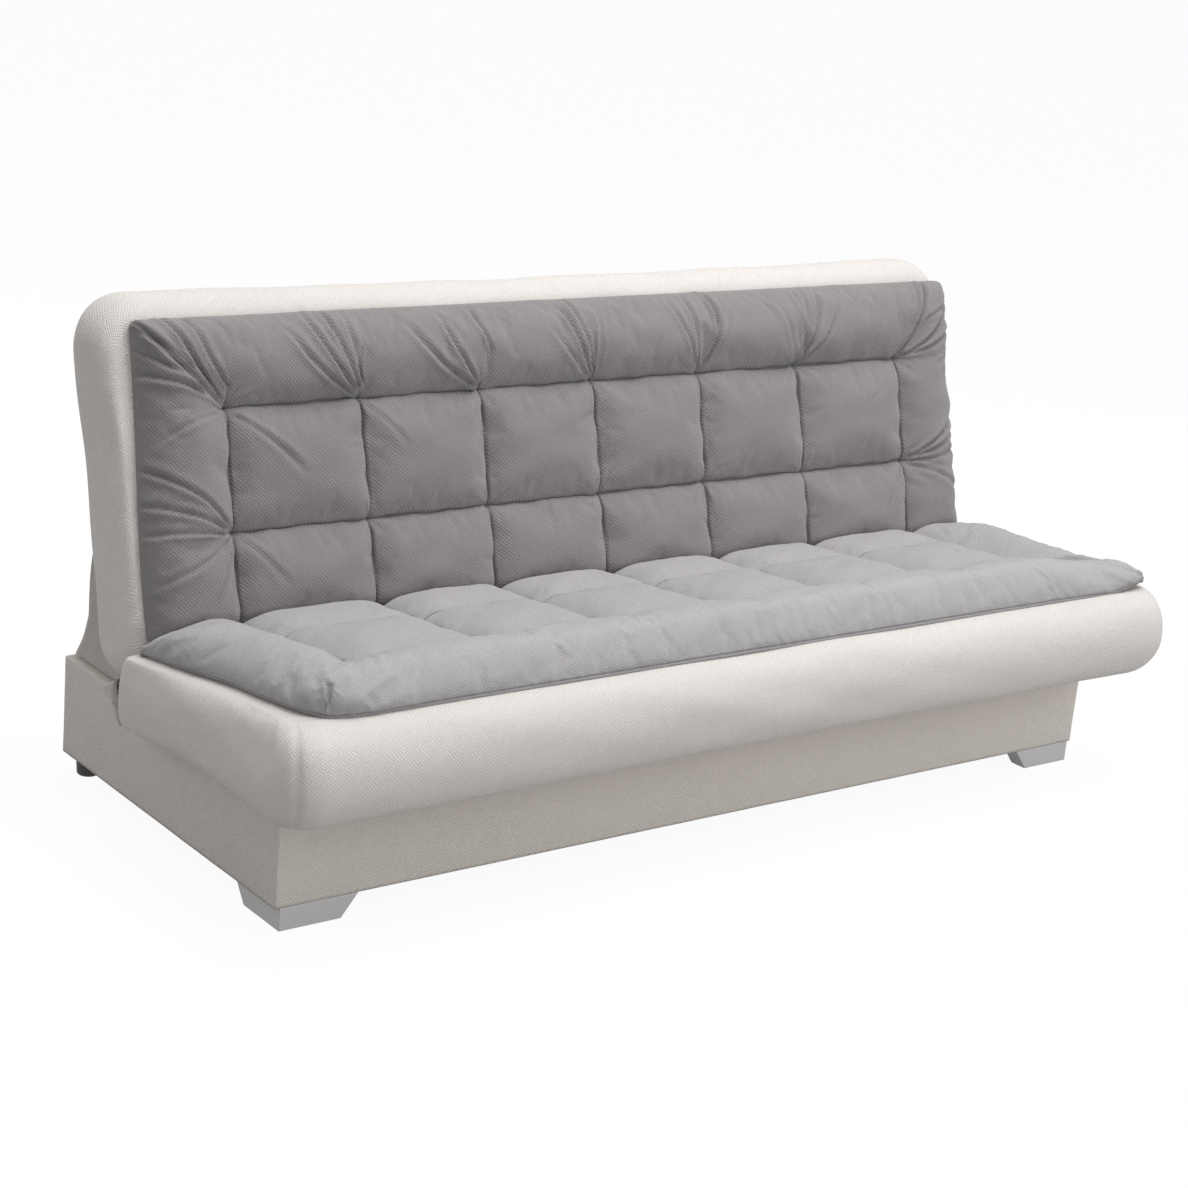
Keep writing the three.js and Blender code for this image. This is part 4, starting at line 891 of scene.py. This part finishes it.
def coverPiece(look):
    # profile rows: the hem at the bottom, up the outside, over the edge and in on the board's top
    top, turn, radius = look["top"], look["turnIn"], look["radius"]
    bend = np.linspace(0.3, math.pi / 2, 5)
    up, over = np.linspace(look["bottom"], top - radius, 30), top - radius + radius * np.sin(bend)
    rise = np.concatenate([up, over, [top, top - 0.002, top - look["inside"]]])
    inset = np.concatenate([0 * up, radius * (1 - np.cos(bend)), [turn - 0.001, turn, turn]])
    rings = []
    for z, i in zip(rise, inset):
        sides = look["half"] - i, look["front"] + i, look["rear"] - i
        ring = outlineRing(*sides, (radius, radius), radius, 0.0, 5, 180, 72)
        rings.append(np.concatenate([ring, np.full((len(ring), 1), z)], 1))
    points = np.stack(rings)
    around = runAlong(np.concatenate([points[10], points[10, :1]]))
    u, v = np.meshgrid(around, runAlong(np.stack([rise, inset], -1)))
    depth = (waves(u[:, :-1], v[:, :-1] * 1.6, look["seed"], 10, 0.06, 0.45) - 1.5) * 0.00025
    outward = (points - points.mean((0, 1))) * [1, 1, 0]
    outward /= np.linalg.norm(outward, axis=-1, keepdims=True)
    points = points + outward * (depth * (inset < 0.002)[:, None])[..., None]
    piece = sheetPiece(
        "boxCoverSleeve", points, u, v, "base", "boxBeige", look["thickness"], offset=-1, closed=True,
    )
    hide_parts("box_cover")


coverPiece(coverLook)
print("stage: box cover made")

# Rear cloth: a thin black sheet tacked round the underside of the back, slack between its tacks
rearClothLook = dict(
    half=0.8885, low=0.0262, high=0.5515, height=-0.0545, tackStep=0.062, tackIn=0.012, seed=51, thickness=0.0008,
)
stapleLook = dict(height=-0.0556, length=0.010, width=0.0011, rise=-0.0004)


def tackPlaces(look, height):
    # places along the four edges at one height, and the direction of each edge there
    inward, step = look["tackIn"], look["tackStep"]
    half, low, high = look["half"] - inward, look["low"] + inward, look["high"] - inward
    span = look["high"] - look["low"]
    xs = np.linspace(0.03 - look["half"], look["half"] - 0.03, int(2 * look["half"] / step))
    ys = np.linspace(look["low"] + 0.04, look["high"] - 0.04, int(span / step))
    edges = [(xs, low, 0), (xs, high, 0), (-half, ys, math.pi / 2), (half, ys, math.pi / 2)]
    return np.concatenate([np.stack(np.broadcast_arrays(x, y, height, turn), -1) for x, y, turn in edges])


def rearClothPiece(look, tacks):
    # height: puckers between the tacks that fade inwards, and slack waves over the middle
    half, low, high = look["half"], look["low"], look["high"]
    x, y = np.meshgrid(np.linspace(-half, half, 330), np.linspace(low, high, 110))
    fromEnd, fromLong = half - np.abs(x), np.minimum(y - low, high - y)
    edge = np.minimum(fromEnd, fromLong)
    away = np.min(np.hypot(x[..., None] - tacks[:, 0], y[..., None] - tacks[:, 1]), axis=-1)
    along = np.where(fromEnd < fromLong, y, x) * 2 / look["tackStep"]
    pucker = np.cos(along * 2 * math.pi) * np.exp(-edge / 0.030) * np.clip(away / 0.02, 0, 1)
    slack = waves(x, y * 1.4, look["seed"], 9, 0.16, 0.7) * np.clip(edge / 0.10, 0, 1)
    z = look["height"] + pucker * 0.0007 + slack * 0.0011 + 0.0012 * smoothStep(edge, 0.012, 0.03)
    points = standUp(np.stack([x, y, z], -1))
    piece = sheetPiece("backDustSheet", points, x, y, "back", "dustCloth", look["thickness"])
    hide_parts("back_rear_cloth")


def staplesPiece(look, places):
    # one small bar set down at every place and turned by its angle
    shape, faces = barShape(look["length"], look["width"], look["rise"])
    c, s, (barX, barY, barZ) = np.cos(places[:, 3:]), np.sin(places[:, 3:]), shape.T
    turned = np.stack([barX * c - barY * s, barX * s + barY * c, barZ + 0 * c], -1)
    points = standUp(turned + places[:, None, :3])
    everyFace = (faces + np.arange(len(places))[:, None, None] * len(shape)).reshape(-1, 4)
    maps = np.zeros((len(everyFace), 4, 2))
    meshObject("rearClothStaples", points, [everyFace], [maps], "back", finishes["zinc"])


def barShape(length, width, rise, sides=6, rings=(0, 0.35, 0.8, 1)):
    # a small bar bowed over its length, round in section and closed by tapered ends
    t = np.concatenate([-np.array(rings)[::-1], np.array(rings)[1:]])
    size = np.sqrt(np.clip(1 - np.abs(t) ** 3, 0.02, 1))
    angle = np.arange(sides) / sides * 2 * math.pi
    x = (t * length / 2)[:, None] + 0 * angle
    y = size[:, None] * np.cos(angle) * width / 2
    z = size[:, None] * np.sin(angle) * width / 2 + (rise * (1 - t ** 2))[:, None]
    shape = np.stack([x, y, z], -1)
    return shape.reshape(-1, 3), ringFaces(len(t), sides)


def ringFaces(rings, sides):
    # quads between rings of one size, with both ends closed by folding the end ring on itself
    r, c = np.arange(rings - 1)[:, None], np.arange(sides)[None]
    here, beside = r * sides + c, r * sides + (c + 1) % sides
    body = np.stack([here, beside, beside + sides, here + sides], -1)
    k = np.arange(sides // 2 - 1)
    lid = np.stack([k, k + 1, sides - 2 - k, sides - 1 - k], -1)
    return np.concatenate([body.reshape(-1, 4), lid[:, ::-1], lid + (rings - 1) * sides])


tacks = tackPlaces(rearClothLook, stapleLook["height"])
rearClothPiece(rearClothLook, tacks)
staplesPiece(stapleLook, tacks)
print("stage: rear cloth made")

# Seat springs: each wire snakes in rounded bends from rail to rail
springLook = dict(
    front=-0.3557, rear=0.0747, swing=0.0238, waves=6, radius=0.0018, height=0.2610, sides=10, steps=420, step=0.2715,
)


def springPiece(number, centre, look):
    # the swing is the sine of the run along the wire to the power 0.62, so that its bends are full
    t = np.linspace(0, 1, look["steps"])
    phase = 2 * math.pi * look["waves"] * t
    swing = np.sign(np.sin(phase)) * np.abs(np.sin(phase)) ** 0.62 * smoothStep(np.minimum(t, 1 - t), 0.0, 0.02)
    y = look["front"] + (look["rear"] - look["front"]) * t + 0.0045 * np.sin(2 * phase)
    path = np.stack([centre + look["swing"] * swing, y, look["height"] + 0 * t], -1)
    along = np.gradient(path, axis=0)
    along /= np.linalg.norm(along, axis=1, keepdims=True)
    aside = np.cross(along, [0, 0, 1.0])
    angle = np.arange(look["sides"])[:, None] / look["sides"] * 2 * math.pi
    points = path[:, None] + (aside[:, None] * np.cos(angle) + [0, 0, 1] * np.sin(angle)) * look["radius"]
    faces = ringFaces(len(t), look["sides"])
    maps = np.zeros((len(faces), 4, 2))
    piece = meshObject(f"seatSpring{number}", points, [faces], [maps], "seat", finishes["spring"])
    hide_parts(f"seat_spring_{number}")


for number in range(1, 7):
    springPiece(number, (number - 3.5) * springLook["step"], springLook)
print("stage: springs made")

# Pleats of the seat cover, bunched behind its rear lower corners
pleatLook = dict(
    outer=0.960, inner=0.914, rear=0.108, high=0.290, low=0.208, depth=0.040, flatHeight=0.082, thickness=0.0012,
)


def pleatPiece(side, look):
    # two lobes side by side, narrow at the top, full below and nipped by a crease between
    a, b = np.meshgrid(np.linspace(0, 1, 90), np.linspace(0, 1, 40))
    lobes = np.abs(np.sin(2 * math.pi * a ** 0.6)) ** 0.8
    full = (0.15 + 0.85 * smoothStep(b, 0, 0.42)) * (1 - 0.6 * smoothStep(b, 0.6, 1))
    full *= 1 - 0.45 * np.exp(-(((b - 0.56 - 0.1 * a) / 0.05) ** 2))
    y = look["rear"] + lobes * full * look["depth"]
    x = side * (look["outer"] + (look["inner"] - look["outer"]) * a - 0.012 * b + 0.004 * np.sin(5 * b) * lobes)
    z = look["high"] + (look["low"] - look["high"]) * b
    # puffed above and below the crease, so that each half catches the light
    puffs = np.abs(np.sin(math.pi * (b - 0.1 * a) / 0.56))
    x = x + side * 0.007 * puffs * lobes
    y = y + 0.004 * puffs
    points = np.stack([x, y, z], -1)
    run = runAlong(points[18])
    u, v = np.meshgrid(run, np.linspace(0, look["flatHeight"], 40))
    name = "seatPleatLeft" if side < 0 else "seatPleatRight"
    piece = sheetPiece(name, points, u, v, "seat", "creamPleat", look["thickness"])
    # painted shade: the pleat's cloth is darker where its lobes and puffs fall away, in the valleys between them
    paintCreaseShade(piece, (1 - smoothStep(puffs * lobes, 0.0, 0.35)).ravel())


for side in (-1, 1):
    pleatPiece(side, pleatLook)
print("stage: pleats made")

# Carried-over nodes: welded, planar faces joined, edges eased by a width, and given their finish
sides = ("left", "right")
easedNodes = [
    ("box_{}_board", ("front", "rear", *sides), "chipboard", 0.0008), ("box_{}", ("divider",), "chipboard", 0.0008),
    ("box_{}_panel", ("floor",), "hardboard", 0.0005),
    ("box_corner_block_{}", ("front_left", "front_right", "rear_left", "rear_right"), "pineZ", 0.002),
    ("front_foot_{}", sides, "silver", 0.0022), ("rear_leg_{}", sides, "black", 0.0012),
    ("seat_{}_rail", ("front", "rear"), "pineX", 0.002), ("back_{}_rail", ("front", "rear"), "pineX", 0.002),
    ("seat_{}_rail", (*sides, "centre"), "pineY", 0.002), ("back_{}_rail", (*sides, "centre"), "pineZ", 0.002),
]
for part in ("base_plate", "ratchet_housing", "seat_pivot_rivet", "back_pivot_rivet", "seat_arm", "back_arm"):
    easedNodes.append((part + "_{}", sides, "zinc", 0.0006))


def easeNode(name, finish, width):
    node = nodes[name]
    node.data.materials.clear()
    node.data.materials.append(finishes[finish])
    weld = node.modifiers.new("weld", "WELD")
    weld.merge_threshold = 0.00002
    planar = node.modifiers.new("planar", "DECIMATE")
    planar.decimate_type = "DISSOLVE"
    planar.angle_limit = math.radians(1)
    bevel = node.modifiers.new("ease", "BEVEL")
    bevel.width = width
    bevel.segments = 3
    bevel.limit_method = "ANGLE"
    bevel.angle_limit = math.radians(35)
    bevel.harden_normals = True


for pattern, places, finish, width in easedNodes:
    for place in places:
        easeNode(pattern.format(place), finish, width)
print("stage: frame and fittings finished")

# Studio: pale floor and backdrop, soft lamps. The floor glows a little for the camera, which sees a white world
studio = dict(floorHalf=60.0, floorTone=0.36, glow=1.18, glowShare=0.80, worldStrength=0.42)


def seenBy(tree, *rays):
    # 1 for rays of the named kinds
    path = addNode(tree, "LightPath").outputs
    seen = path[rays[0]]
    for ray in rays[1:]:
        seen = addMath(tree, "MAXIMUM", seen, path[ray])
    return seen


def mixInto(tree, output, share, first, second):
    mix = addNode(tree, "MixShader", {0: share, 1: first.outputs[0], 2: second.outputs[0]})
    addNode(tree, output, {0: mix.outputs[0]})


def makeStudio(look):
    half, white = look["floorHalf"], (1, 1, 1, 1)
    material = bpy.data.materials.new("paleFloor")
    material.use_nodes = True
    tree = material.node_tree
    tree.nodes.clear()
    diffuse = addNode(tree, "BsdfDiffuse", {"Color": (look["floorTone"],) * 3 + (1,)})
    glow = addNode(tree, "Emission", {"Color": white, "Strength": look["glow"]})
    share = addMath(tree, "MULTIPLY", seenBy(tree, "Is Camera Ray", "Is Glossy Ray"), look["glowShare"])
    mixInto(tree, "OutputMaterial", share, diffuse, glow)
    mesh = bpy.data.meshes.new("studioFloor")
    corners = [(-half, -half, 0), (half, -half, 0), (half, half, 0), (-half, half, 0)]
    mesh.from_pydata(corners, [], [(0, 1, 2, 3)])
    mesh.materials.append(material)
    floor = bpy.data.objects.new("studioFloor", mesh)
    scene.collection.objects.link(floor)

    scene.world = bpy.data.worlds.new("studioWorld")
    scene.world.use_nodes = True
    tree = scene.world.node_tree
    tree.nodes.clear()
    light = addNode(tree, "Background", {"Color": white, "Strength": look["worldStrength"]})
    plain = addNode(tree, "Background", {"Color": white, "Strength": 1.0})
    seen = seenBy(tree, "Is Camera Ray", "Is Glossy Ray", "Is Transmission Ray")
    mixInto(tree, "OutputWorld", seen, light, plain)


lamps = dict(
    keyLamp=dict(place=(3.4, -4.4, 3.0), target=(0, 0, 0.4), size=2.6, power=54),
    topLamp=dict(place=(0.4, -0.7, 4.2), target=(0, 0, 0.4), size=2.8, power=118),
    frontLamp=dict(place=(2.2, -5.6, 1.1), target=(0, 0, 0.2), size=2.2, power=60),
    leftLamp=dict(place=(-4.4, -0.4, 2.3), target=(0, 0.2, 0.7), size=2.4, power=12),
    rearLamp=dict(place=(-1.0, 4.0, 2.6), target=(0, 0, 0.5), size=2.6, power=25),
)


def makeLamp(name, look):
    light = bpy.data.lights.new(name, "AREA")
    light.shape = "SQUARE"
    light.size = look["size"]
    light.energy = look["power"]
    holder = bpy.data.objects.new(name, light)
    aim = Vector(look["target"]) - Vector(look["place"])
    holder.location = look["place"]
    holder.rotation_euler = aim.to_track_quat("-Z", "Y").to_euler()
    scene.collection.objects.link(holder)


makeStudio(studio)
for name, look in lamps.items():
    makeLamp(name, look)
scene.view_settings.view_transform = "Standard"
print("stage: studio made")
